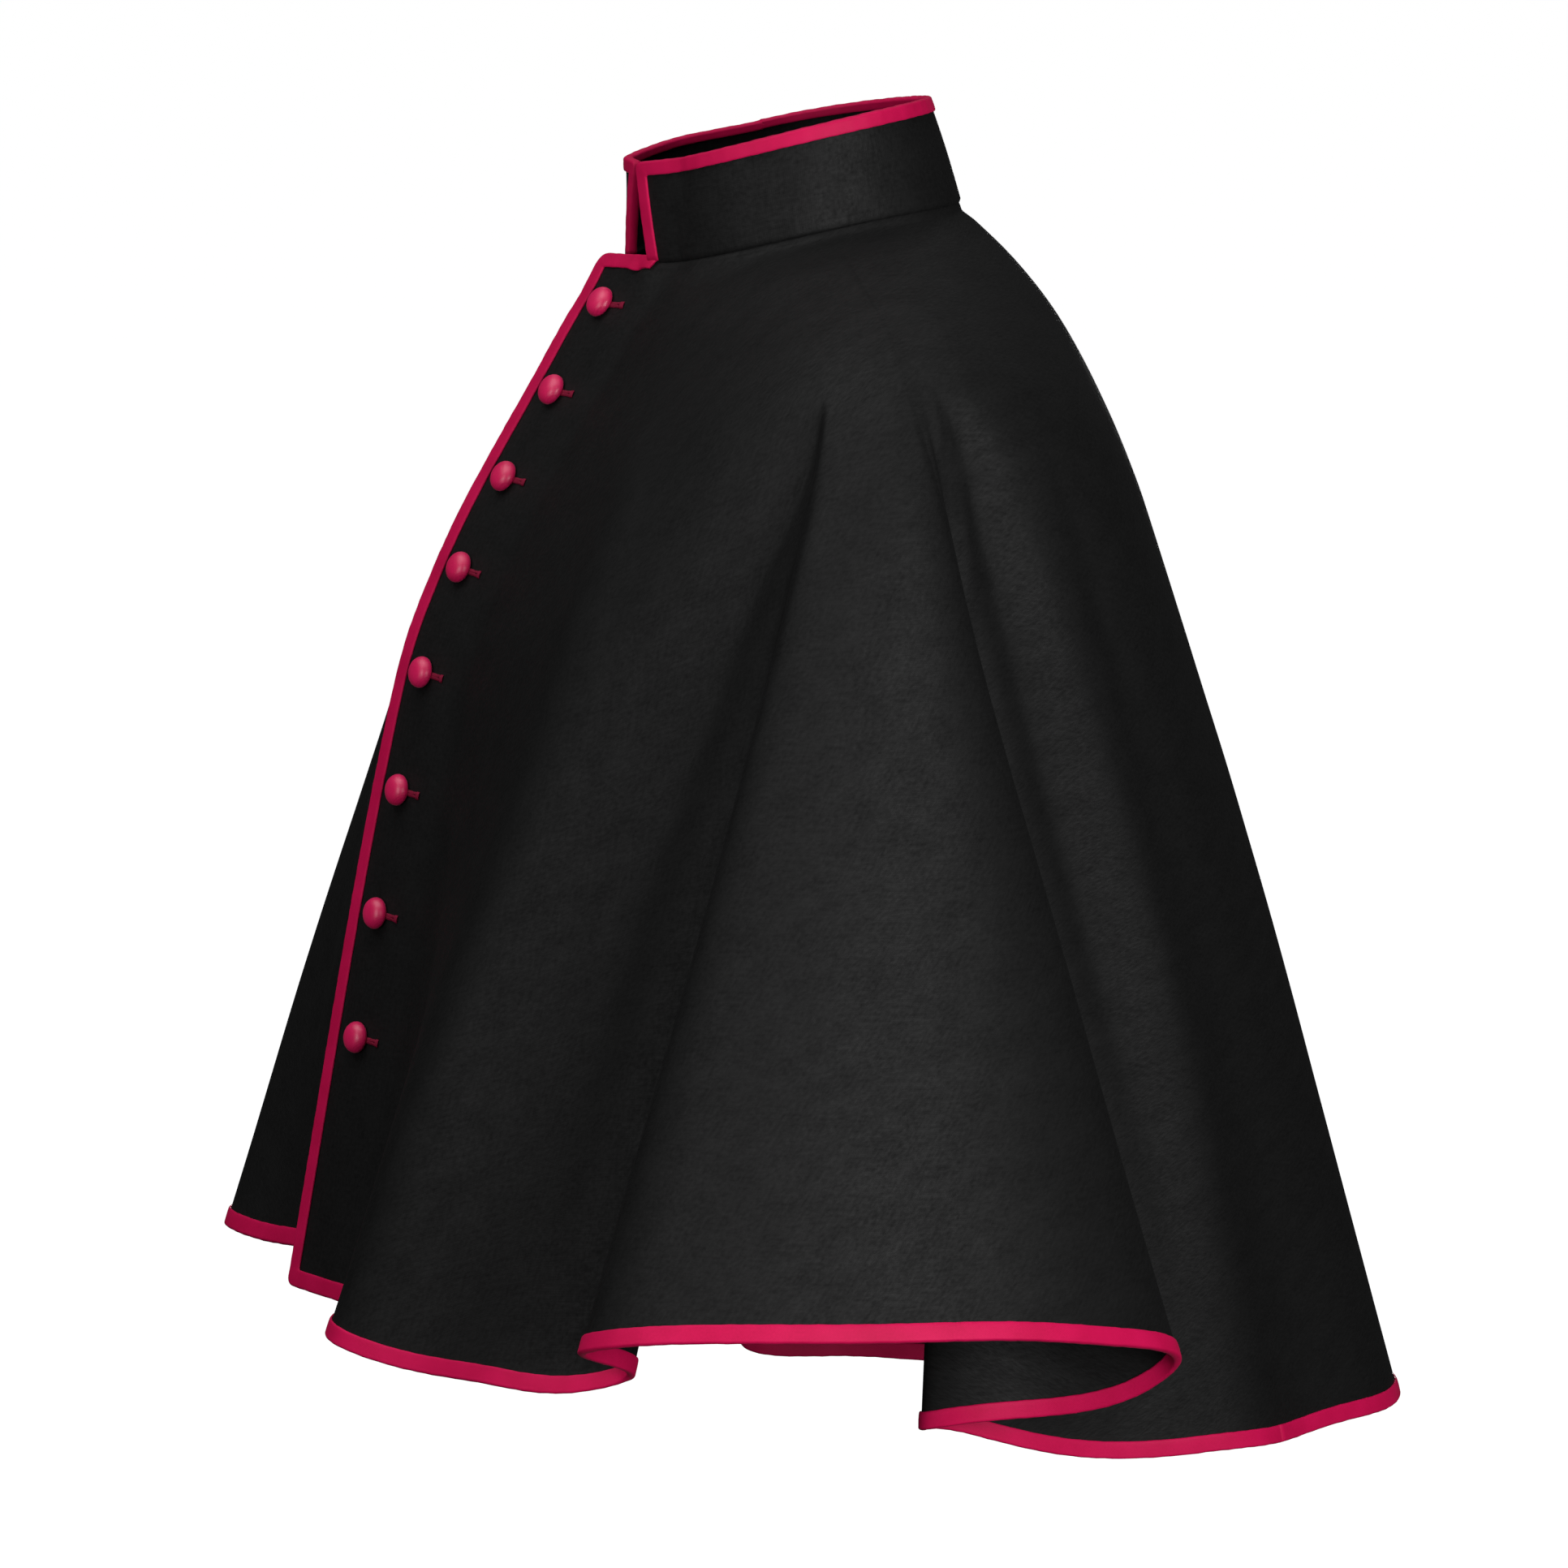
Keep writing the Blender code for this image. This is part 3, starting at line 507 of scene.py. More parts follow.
    def hem_shift(self, u: Array) -> Array:
        """How far the folds carry the hem from the smooth form (cm).

        Args:
            u: where to read it, round the half.

        Returns:
            The hem's spline less the form's own hem.
        """
        last = np.array([-1.0, 0, 0]) * np.linalg.norm(self.points[-1] - self.points[-2])
        last_slope = last / (self.knots[-1] - self.knots[-2])
        hem = spline(self.knots, self.points, np.ravel(u), last_slope).reshape(np.shape(u) + (3,))
        return hem * (self.side, 1, 1) - self.form(self.angle(u), np.ones_like(u))

    def base(self, u: Array, t: Array) -> Array:
        """The middle of the cloth before its creases: form + growth(t) x the hem's shift (m).

        Args:
            u: where to read it, round the half.
            t: where to read it, down the cloth.

        Returns:
            Points. Above the hem, the shift is a weighted mean of its neighbours'.
        """
        growth = np.clip((t - self.fold_start) / (1 - self.fold_start), 0, 1) ** self.fold_power
        near_ends = ease(u / self.soft_margin) * ease((1 - u) / self.soft_margin)
        spread = self.soft_start * (1 - growth) ** self.soft_power * near_ends
        shares = ((-2, 1 / 16), (-1, 4 / 16), (0, 6 / 16), (1, 4 / 16), (2, 1 / 16))
        moved = sum(share * self.hem_shift(u + k * spread) for k, share in shares)
        points = (self.form(self.angle(u), t) + growth[..., None] * moved) * CM
        points[..., 0] -= self.side * BACK_LAP / 2
        return points

    def across(self, u: Array, t: Array) -> Array:
        """Metres round the half for each unit of u."""
        a, b = beside(u)
        return np.linalg.norm(self.base(b, t) - self.base(a, t), axis=-1) / (b - a)

    def along(self, u: Array, t: Array) -> Array:
        """Metres down the cloth for each unit of t."""
        a, b = beside(t)
        return np.linalg.norm(self.base(u, b) - self.base(u, a), axis=-1) / (b - a)

    def crease(self, crease: Crease, u: Array, t: Array) -> Array:
        """The rise of one crease, a hump across its line (m).

        The line's u, half width and rise are smooth curves in t through its spots. The hump is rise x
        bell(distance / half width), with the half width 1 - lean times as wide on the side towards
        the centre back and 1 + lean on the other.

        Args:
            crease: its spots and lean.
            u: where to read it, round the half.
            t: where to read it, down the cloth.

        Returns:
            How far it lifts the cloth.
        """
        rows = np.array([(spot.u, spot.t, spot.width * CM, spot.rise * CM) for spot in crease.spots])
        rows[:, 2] /= self.across(rows[:, 0], rows[:, 1])
        line, width, rise = np.moveaxis(smooth_rows(rows[:, 1], rows[:, [0, 2, 3]], t), -1, 0)
        width = width * np.where(u > line, 1 - crease.lean, 1 + crease.lean)
        return rise * bell((u - line) / width)

    def relief(self, u: Array, t: Array) -> Array:
        """The rise of all creases, seams and the cloth's slight unevenness (m).

        Args:
            u: where to read it, round the half.
            t: where to read it, down the cloth.

        Returns:
            The sum: creases and waves lift the cloth, and a bell along each seam lowers it.
        """
        rise = sum((self.crease(one, u, t) for one in self.creases), np.zeros_like(u))
        waves = np.sin(23 * u + 7 * t) * np.sin(11 * t - 5 * u) + 0.6 * np.sin(41 * u - 13 * t + 1)
        wide, tall = self.ripple_margin
        rise += self.ripple * waves * ease(t / tall) * ease((1 - u) / wide) * ease(u / wide)
        rise -= self.seam_dip * bell((1 - u) * self.across(np.ones_like(u), t) / self.seam_width)
        rise -= self.seam_dip * bell(t * self.along(u, np.zeros_like(t)) / self.seam_width)
        return rise

    def outward(self, surface: Callable[[Array, Array], Array], u: Array, t: Array) -> Array:
        """Unit normals of a surface over u and t, pointing away from the wearer."""
        (before, after), (above, below) = beside(u), beside(t)
        round_it, down_it = surface(after, t) - surface(before, t), surface(u, below) - surface(u, above)
        return unit(np.cross(down_it, round_it) * self.side)

    def surface(self, u: Array, t: Array) -> Array:
        """The middle of the finished cloth (m)."""
        return self.base(u, t) + self.outward(self.base, u, t) * self.relief(u, t)[..., None]

    def normals(self, u: Array, t: Array) -> Array:
        """Unit normals of the finished cloth, pointing away from the wearer."""
        return self.outward(self.surface, u, t)

    def columns(self, count: int, bend_weight: float = 0.02) -> Array:
        """u values spaced along the hem, closer together where it bends.

        Args:
            count: of values.
            bend_weight: metres of hem that a turn of one radian counts for.

        Returns:
            Rising values from 0 to 1, an equal cost apart.
        """
        fine = np.linspace(0, 1, SAMPLES)
        runs = np.diff(self.base(fine, np.ones_like(fine)), axis=0)
        bend = np.linalg.norm(np.diff(unit(runs), axis=0), axis=1)
        length = np.linalg.norm(runs, axis=1)
        cost = np.concatenate([[0], np.cumsum(length + bend_weight * np.append(0, bend))])
        return np.interp(np.linspace(0, cost[-1], count), cost, fine)

    def down(self, length: Array, from_hem: bool = False) -> Array:
        """The t that lies this far down the front edge from the seam, or up it from the hem.

        Args:
            length: along the edge (m).
            from_hem: whether it is measured from the hem.

        Returns:
            The values of t.
        """
        ways = np.linspace(0, 1, SAMPLES)
        edge = self.base(np.zeros_like(ways), 1 - ways if from_hem else ways)
        found = np.interp(length, run_length(edge), ways)
        return 1 - found if from_hem else found

    def inset(self, t: Array, width: Array) -> Array:
        """The u at which the cloth is this far in from the front edge."""
        return width / self.across(np.zeros_like(t), t)

    def rise_from_hem(self, u: Array, height: float) -> Array:
        """The t that lies this far above the hem on each column."""
        return 1 - height / self.along(u, np.ones_like(u))

    def rounded(self, u: Array, t: Array) -> tuple[Array, Array]:
        """Rounds the front edge's corners.

        Args:
            u: the grid's values round the half.
            t: the grid's values down the cloth.

        Returns:
            The moved u and t.
        """
        for radius, level in ((self.corner_top, 0.0), (self.corner_low, 1.0)):
            if radius == 0:
                continue
            wide = self.across(np.zeros_like(t), t) / radius
            tall = self.along(np.zeros(1), np.array([level]))[0] / radius
            x, y = 1 - np.clip(u * wide, 0, 1), 1 - np.clip(np.abs(t - level) * tall, 0, 1)
            inside = (x > 0) & (y > 0)
            x, y = pressed(x, y)
            u = np.where(inside, (1 - x) / wide, u)
            t = np.where(inside, np.abs(level - (1 - y) / tall), t)
        return u, t

    def grid(self) -> tuple[Array, Array]:
        """The cloth's grid of u and t, closer at its edges and seams."""
        us = self.columns(self.columns_made), np.linspace(0, 0.03, 12), np.linspace(0.994, 1, 8)
        ts = np.linspace(0, 1, self.rows_made), np.linspace(0, 0.014, 9), np.linspace(0.985, 1, 6)
        us, ts = (np.unique(np.round(np.concatenate(parts), 4)) for parts in (us, ts))
        return self.rounded(*np.meshgrid(us, ts, indexing="ij"))

    def build(self, node: str, finish: Material) -> Object:
        """The cloth: both faces of the wall on a fine grid, with a map of the cut in metres.

        Args:
            node: the solid that it stands for.
            finish: its material.

        Returns:
            The object.
        """
        u, t = self.grid()
        points = self.surface(u, t)
        chart = np.stack([run_length(points.transpose(1, 0, 2)).T, run_length(points)], -1)
        piece = wall_mesh(f"{self.name}_cloth", points, self.normals(u, t), WALL, chart, finish)
        dress(piece, "cloth", node)
        return piece


# Meshes


def mesh_object(name: str, vertices: Array, faces: Array, chart: Array, finish: Material) -> Object:
    """A smooth object from flat arrays.

    Args:
        name: the object's name.
        vertices: its points (m).
        faces: four vertex numbers a face, one of them -1 where it has three.
        chart: each vertex's place on the flat cloth (m).
        finish: its material.

    Returns:
        The object, linked to the scene.
    """
    mesh = bpy.data.meshes.new(name)
    corners = faces[faces >= 0]
    counts = (faces >= 0).sum(1)
    mesh.vertices.add(len(vertices))
    mesh.vertices.foreach_set("co", np.ascontiguousarray(vertices, np.float32).ravel())
    mesh.loops.add(len(corners))
    mesh.loops.foreach_set("vertex_index", corners.astype(np.int32))
    mesh.polygons.add(len(faces))
    mesh.polygons.foreach_set("loop_start", (np.cumsum(counts) - counts).astype(np.int32))
    layer = mesh.uv_layers.new(name="cut")
    layer.data.foreach_set("uv", chart[corners].astype(np.float32).ravel())
    mesh.update(calc_edges=True)
    mesh.validate()
    mesh.shade_smooth()
    mesh.materials.append(finish)
    made = bpy.data.objects.new(name, mesh)
    bpy.context.scene.collection.objects.link(made)
    return made


def grid_faces(columns: int, rows: int, ring: bool = False) -> Array:
    """Faces between the points of a grid.

    Args:
        columns: count of the grid's columns.
        rows: points in each column.
        ring: whether each column's last point joins its first.

    Returns:
        Four vertex numbers a face.
    """
    index = np.arange(columns * rows).reshape(columns, rows)
    if ring:
        index = np.concatenate([index, index[:, :1]], axis=1)
    cells = [index[:-1, :-1], index[:-1, 1:], index[1:, 1:], index[1:, :-1]]
    return np.stack([cell.ravel() for cell in cells], -1)


def facing(vertices: Array, faces: Array, outward: Array) -> Array:
    """The faces, all turned round if most look against the outward vectors of their first corners."""
    a, b, c = (vertices[faces[:, i]] for i in range(3))
    agree = (np.cross(b - a, c - a) * outward[faces[:, 0]]).sum()
    return faces if agree > 0 else faces[:, ::-1]


def wall_mesh(
    name: str, middle: Array, normal: Array, thick: float, chart: Array, finish: Material
) -> Object:
    """A closed wall of cloth: middle + and - half the thickness along the normal, and a rim.

    Args:
        name: the object's name.
        middle: a grid of points in the middle of the cloth.
        normal: the unit normals there.
        thick: the wall's thickness.
        chart: the grid's places on the flat cloth.
        finish: its material.

    Returns:
        The object.
    """
    columns, rows = middle.shape[:2]
    count = columns * rows
    half = normal * thick / 2
    vertices = np.concatenate([middle + half, middle - half]).reshape(-1, 3)
    outward = np.concatenate([normal, -normal]).reshape(-1, 3)
    index = np.arange(count).reshape(columns, rows)
    loop = np.concatenate([index[:-1, 0], index[-1, :-1], index[:0:-1, -1], index[0, :0:-1]])
    after = np.roll(loop, -1)
    rim = np.stack([loop, after, after + count, loop + count], -1)
    cells = grid_faces(columns, rows)
    faces = facing(vertices, np.concatenate([cells, cells[:, ::-1] + count, rim]), outward)
    return mesh_object(name, vertices, faces, np.tile(chart.reshape(-1, 2), (2, 1)), finish)


def tube_mesh(name: str, sections: Array, chart: Array, finish: Material) -> Object:
    """A closed solid carried through equal rings of points, with flat ends.

    Args:
        name: the object's name.
        sections: rings of points, one after the other along the path.
        chart: each point's place on the flat strip.
        finish: its material.

    Returns:
        The object.
    """
    count, ring = sections.shape[:2]
    centres = sections.mean(1)
    vertices = np.concatenate([sections.reshape(-1, 3), centres[:1], centres[-1:]])
    outward = np.concatenate([(sections - centres[:, None]).reshape(-1, 3), np.zeros((2, 3))])
    turn = np.arange(ring)
    after, last = np.roll(turn, -1), (count - 1) * ring
    corners = ((after, turn, count * ring), (turn + last, after + last, count * ring + 1))
    ends = [np.stack([a, b, np.full(ring, centre), np.full(ring, -1)], -1) for a, b, centre in corners]
    faces = facing(vertices, np.concatenate([grid_faces(count, ring, ring=True), *ends]), outward)
    flat = np.concatenate([chart.reshape(-1, 2), chart[:1].mean(1), chart[-1:].mean(1)])
    return mesh_object(name, vertices, faces, flat, finish)


def dress(piece: Object, slot: str, *nodes: str) -> None:
    """Puts a piece on its body, hides the solids that it stands for and logs its faces.

    Args:
        piece: the object.
        slot: not used.
        nodes: the solids.
    """
    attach(piece, BODY)
    if nodes:
        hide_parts(*nodes)
    log.info("%s: %d faces for %s", piece.name, len(piece.data.polygons), ", ".join(nodes) or "sewing")


# The collar


@dataclass
class Collar:
    """The stand-up band, open at the front."""

    left: HalfCape
    right: HalfCape
    bow: float = 0.5 * MM  # the band swells this much between its seam and its binding
    tuck_depth: float = 1.5 * MM  # its foot runs on this far inside the cape's top edge
    foot_in: float = 1.2 * MM  # and stands this far in from it
    foot_fade: float = 0.04  # turning in over this share of the height
    cut: Pair = (0.42, 0.058)  # the rectangle that its flat piece is cut from (m)
    corner: float = 2.5 * MM
    columns: int = 240
    rows: int = 30

    def base(self, v: Array, h: Array) -> Array:
        """The middle of the band: each height is a share of the way between two rings.

        Args:
            v: from its left end (0) round the back to its right end (1).
            h: from its seam (0) to its top (1).

        Returns:
            Points (m).
        """
        foot, top = np.array(FORM[0].numbers), np.array(COLLAR_TOP.numbers)
        points = np.zeros(np.shape(v) + (3,))
        for half, ends in ((self.left, LEFT_ENDS), (self.right, RIGHT_ENDS)):
            share = 1 - 2 * v if half.side > 0 else 2 * v - 1
            here = (share > 0) if half.side < 0 else (share >= 0)
            low, high = (
                half.ring_points(ring, 180 + (end - 180) * np.clip(share, 0, 1))
                for ring, end in zip((foot, top), ends)
            )
            points = np.where(here[..., None], low + (high - low) * h[..., None], points)
        points = points * CM
        points[..., 2] += COLLAR_SEAT
        return points

    def normals(self, v: Array, h: Array) -> Array:
        """Unit normals, pointing away from the wearer."""
        before, after = beside(v)
        along = self.base(after, h) - self.base(before, h)
        return unit(np.cross(along, self.base(v, h + STEP) - self.base(v, h - STEP)))

    def surface(self, v: Array, h: Array) -> Array:
        """The band with its slight swell, and its foot turned inside the neckline."""
        swell = self.bow * np.sin(np.pi * np.clip(h, 0, 1)) - self.foot_in * ease(-h / self.foot_fade)
        return self.base(v, h) + self.normals(v, h) * swell[..., None]

    @property
    def length(self) -> float:
        """Along the top edge."""
        v = np.linspace(0, 1, SAMPLES)
        return float(run_length(self.base(v, np.ones(SAMPLES)))[-1])

    @property
    def height(self) -> float:
        """The mean of the two ends' heights."""
        ends = np.array([0.0, 1.0])
        tall = self.base(ends, np.ones(2)) - self.base(ends, np.zeros(2))
        return float(np.linalg.norm(tall, axis=-1).mean())

    def rounded(self, v: Array, h: Array) -> tuple[Array, Array]:
        """Rounds the two upper corners, as HalfCape.rounded does.

        Args:
            v: the grid's values along the band.
            h: the grid's values up the band.

        Returns:
            The moved v and h.
        """
        wide, tall = self.length / self.corner, self.height / self.corner
        x, y = 1 - np.clip(np.minimum(v, 1 - v) * wide, 0, 1), 1 - np.clip((1 - h) * tall, 0, 1)
        inside = (x > 0) & (y > 0)
        x, y = pressed(x, y)
        moved = np.where(v < 0.5, (1 - x) / wide, 1 - (1 - x) / wide)
        return np.where(inside, moved, v), np.where(inside, 1 - (1 - y) / tall, h)

    def build(self, node: str, finish: Material) -> Object:
        """The stiffened band of wool.

        Args:
            node: the solid that it stands for.
            finish: its material.

        Returns:
            The object.
        """
        tail, close = self.tuck_depth / self.height, np.linspace(0, 0.012, 8)
        v = np.unique(np.concatenate([np.linspace(0, 1, self.columns), close, 1 - close]))
        h = [[-tail, -tail / 2], np.linspace(0, 1, self.rows), np.linspace(0.9, 1, 8)]
        v, h = self.rounded(*np.meshgrid(v, np.unique(np.concatenate(h)), indexing="ij"))
        points = self.surface(v, h)
        chart = np.stack([v * self.length, h * self.height], -1)
        piece = wall_mesh("collar_cloth", points, self.normals(v, h), COLLAR_WALL, chart, finish)
        dress(piece, "cloth", node)
        return piece


# The bindings


def stations(cloth: HalfCape | Collar, edge: tuple[Array, Array], leg: tuple[Array, Array]) -> Array:
    """Places along a binding's path.

    Args:
        cloth: what it binds.
        edge: the cloth's own two values along the cloth's edge.
        leg: the same along the strip's edge.

    Returns:
        One row for each place: a point of the cloth's edge and its normal, and the same for the strip's.
    """
    ways = [np.broadcast_arrays(*np.atleast_1d(*way)) for way in (edge, leg)]
    return np.stack([read(*way) for way in ways for read in (cloth.surface, cloth.normals)], 1)


def corner_turn(widths: Pair, radius: float, count: int) -> Array:
    """Stations round a square corner with a rounded outside.

    The edge runs straight in to the arc, round it, and straight out again; the strip's own edge
    turns a small arc inside it.

    Args:
        widths: of the binding beyond the corner and before it.
        radius: of the corner's arc.
        count: of stations.

    Returns:
        Rows of edge x, edge y, leg x and leg y, each the distance from the corner's two sides. They
        start where x is large and y is 0, and end where x is 0 and y is large.
    """
    wide, tall = widths
    straight_x, straight_y = wide + LEG_RADIUS - radius, tall + LEG_RADIUS - radius
    arc = np.pi / 2 * radius
    way = np.linspace(0, straight_x + arc + straight_y, count)
    angle = np.clip((way - straight_x) / radius, 0, np.pi / 2)
    lead = np.clip(straight_x - way, 0, None)
    trail = np.clip(way - straight_x - arc, 0, None)
    edge_x = radius * (1 - np.sin(angle)) + lead
    edge_y = radius * (1 - np.cos(angle)) + trail
    turn = way / way[-1] * np.pi / 2
    leg_x = wide + LEG_RADIUS * (1 - np.sin(turn))
    leg_y = tall + LEG_RADIUS * (1 - np.cos(turn))
    return np.stack([edge_x, edge_y, leg_x, leg_y], -1)


@dataclass(frozen=True)
class StripProfile:
    """A folded strip's section: a rounded edge on each face and a round fold over the cloth's edge.

    A row is the share of the way from the strip's own edge to the cloth's edge, and the height off
    the cloth's face in shares of the strip's lift.
    """

    face: tuple[Pair, ...] = (
        (0.000, 0.10), (-0.012, 0.42), (0.008, 0.74), (0.05, 0.92), (0.14, 1.00),
        (0.32, 1.04), (0.52, 1.04), (0.74, 1.02), (0.92, 1.00),
    )
    inner: float = 1.0  # width of the inner face, as a share of the outer one's
    round_steps: int = 9
    under: float = 0.08  # its inside lies off the cloth's face by this share of the lift

    def sections(self, path: Array, wall: float, reach: Array) -> Array:
        """The strip's rings of points.

        Args:
            path: its stations.
            wall: thickness of the cloth under the strip.
            reach: how far the fold stands beyond the cloth's edge, at each station.

        Returns:
            Rings of points, one for each station.
        """
        edge, edge_normal, leg, leg_normal = np.moveaxis(path, 1, 0)[:, :, None]
        share, height = np.array(self.face).T
        high = wall / 2 + height * BINDING_LIFT
        angle = np.linspace(0, np.pi, self.round_steps)
        top, low = wall / 2 + BINDING_LIFT, wall / 2 + self.under * BINDING_LIFT
        inside = 1 - self.inner * (1 - share[::-1])
        parts = (
            [share, np.ones(self.round_steps), inside, [0.6, 1, 1, 0.6]],
            [high, top * np.cos(angle), -high[::-1], [-low, -low, low, low]],
            [0 * share, np.sin(angle), 0 * share, [0, self.under, self.under, 0]],
        )
        across, lift, beyond = (np.concatenate(part)[:, None] for part in parts)
        normal = unit(leg_normal * (1 - across) + edge_normal * across)
        outward = unit(edge - leg) * reach[:, None, None]
        return leg + (edge - leg) * across + normal * lift + outward * beyond


@dataclass
class Binding:
    """The crimson strips: round the collar, and round the cape's neckline, front edge and hem."""

    left: HalfCape
    right: HalfCape
    collar: Collar
    finish: Material
    profile: StripProfile = StripProfile()
    collar_profile: StripProfile = StripProfile(inner=0.58)
    reach: float = 1.1 * MM
    top_end: float = 25.3  # the strip over the neckline's extension ends at this angle (degrees)
    top_reach: float = 0.35  # its fold's reach where the collar's foot covers it, as a share
    strip_cut: float = 17.6 * MM  # width of strip that shows on both faces of the hem
    collar_cut: float = 12.8 * MM
    pucker: float = 0.07 * MM  # it swells and shrinks by this much
    pucker_pitch: float = 7 * MM
    slow_pitch: float = 17 * MM  # of the wave that makes the puckers uneven
    front_stations: int = 140
    hem_stations: int = 330
    top_stations: int = 26
    collar_stations: int = 240
    collar_end_stations: int = 16
    corner_stations: int = 14
    neck_corner_stations: int = 18

    def hem(self, half: HalfCape, u: Array) -> Array:
        """Stations along a hem."""
        return stations(half, (u, 1.0), (u, half.rise_from_hem(u, HEM_BINDING)))

    def half_corner(self, from_hem: bool, radius: float, count: int) -> Array:
        """Stations round a corner of the left front, from the neckline or to the hem.

        Args:
            from_hem: whether it is the corner at the hem.
            radius: of the corner's arc.
            count: of stations.

        Returns:
            The stations.
        """
        rows = corner_turn((HEM_BINDING, HEM_BINDING if from_hem else TOP_BINDING), radius, count)
        rows = rows[::-1] if from_hem else rows
        t = self.left.down(rows[:, 1::2], from_hem)
        u = self.left.inset(t, rows[:, ::2])
        return stations(self.left, (u[:, 0], t[:, 0]), (u[:, 1], t[:, 1]))

    def finish_strip(
        self, name: str, runs: list[Array], node: str, taper: Array, around_collar: bool = False
    ) -> Object:
        """A strip along stations, with slight puckers.

        Args:
            name: the object's name.
            runs: the stations of its path, run after run.
            node: the solid that it stands for.
            taper: the share of its fold's reach at each of the first stations.
            around_collar: whether it lies round the collar, and not round the cape.

        Returns:
            The object.
        """
        path = np.concatenate(runs)
        middle = (path[:, 0] + path[:, 2]) / 2
        way = run_length(middle)
        reach = np.full(len(way), self.reach)
        reach[: len(taper)] *= taper
        profile = self.collar_profile if around_collar else self.profile
        sections = profile.sections(path, COLLAR_WALL if around_collar else WALL, reach)
        turns = 2 * np.pi * way
        wave = np.sin(turns / self.pucker_pitch) + 0.7 * np.sin(turns / self.slow_pitch + 2)
        sections += unit(sections - middle[:, None]) * (self.pucker * wave)[:, None, None]
        round_ring = run_length(sections)
        chart = np.stack([np.broadcast_to(way[:, None], round_ring.shape), round_ring], -1)
        piece = tube_mesh(name, sections, chart, self.finish)
        dress(piece, "binding", node)
        return piece

    def left_strip(self, node: str) -> Object:
        """Over the neckline's extension, down the front edge and along the hem to the join.

        Args:
            node: the solid that it stands for.

        Returns:
            The object.
        """
        half = self.left
        fine = np.linspace(0, 0.5, SAMPLES)
        end_u, collar_u = np.interp([self.top_end, LEFT_ENDS[0]], half.angle(fine), fine)
        reach = HEM_BINDING + LEG_RADIUS
        top_u = np.linspace(end_u, half.inset(np.zeros(1), reach)[0], self.top_stations)[:-1]
        covered = ease((top_u - collar_u) / (end_u - collar_u) + 0.4)
        turned_in = ease((top_u - end_u) / (0.3 * (collar_u - end_u)) + 0.35)
        starts = half.down(TOP_BINDING + LEG_RADIUS), half.down(reach, True)
        front_t = np.linspace(*starts, self.front_stations)[1:-1]
        hem_u = half.columns(self.hem_stations)
        hem_u = hem_u[(hem_u > half.inset(np.ones(1), reach)[0]) & (hem_u < BINDING_JOIN)]
        runs = [
            stations(half, (top_u, 0.0), (top_u, half.down(TOP_BINDING * turned_in))),
            self.half_corner(False, half.corner_top, self.neck_corner_stations),
            stations(half, (0.0, front_t), (half.inset(front_t, HEM_BINDING), front_t)),
            self.half_corner(True, half.corner_low, self.corner_stations),
            self.hem(half, np.append(hem_u, BINDING_JOIN)),
        ]
        return self.finish_strip("edge_strip_left", runs, node, 1 - (1 - self.top_reach) * covered)

    def right_strip(self, node: str) -> Object:
        """From the join round the back and along the right hem to the under-lap.

        Args:
            node: the solid that it stands for.

        Returns:
            The object.
        """
        start = BINDING_JOIN + JOIN_NOTCH
        left_u = self.left.columns(self.hem_stations)
        left_u = np.append(start, left_u[(left_u > start + JOIN_NOTCH) & (left_u < 0.9995)])
        right_u = self.right.columns(self.hem_stations)[-2::-1]
        runs = [self.hem(self.left, left_u), self.hem(self.right, right_u)]
        return self.finish_strip("edge_strip_right", runs, node, np.ones(0))

    def collar_strip(self, node: str) -> Object:
        """Up the right end of the collar, along its top and down its left end.

        Args:
            node: the solid that it stands for.

        Returns:
            The object.
        """
        band = self.collar
        in_v, in_h = 1 / band.length, 1 / band.height
        rows = corner_turn((COLLAR_END_BINDING, COLLAR_BINDING), band.corner, self.corner_stations)
        v, h = rows[:, ::2].T * in_v, 1 - rows[:, 1::2].T * in_h
        up = np.linspace(0, 1 - (COLLAR_BINDING + LEG_RADIUS) * in_h, self.collar_end_stations)[:-1]
        reach = (COLLAR_END_BINDING + LEG_RADIUS) * in_v
        along = np.linspace(reach, 1 - reach, self.collar_stations)[1:-1]
        inner = COLLAR_END_BINDING * in_v
        ways = (
            ((1.0, up), (1 - inner, up)),
            ((1 - v[0, ::-1], h[0, ::-1]), (1 - v[1, ::-1], h[1, ::-1])),
            ((1 - along, 1.0), (1 - along, 1 - COLLAR_BINDING * in_h)),
            ((v[0], h[0]), (v[1], h[1])),
            ((0.0, up[::-1]), (inner, up[::-1])),
        )
        runs = [stations(band, edge, leg) for edge, leg in ways]
        return self.finish_strip("collar_strip", runs, node, np.ones(0), around_collar=True)


# The closure


@dataclass(frozen=True)
class Button:
    """A button's way down the cloth from the collar seam and in from the front edge (cm)."""

    down: float
    inward: float


BUTTONS = (
    Button(2.36, 1.99),
    Button(6.65, 2.08),
    Button(10.91, 2.10),
    Button(15.26, 2.07),
    Button(20.06, 2.03),
    Button(25.26, 2.16),
    Button(30.71, 2.21),
    Button(36.19, 2.34),
)


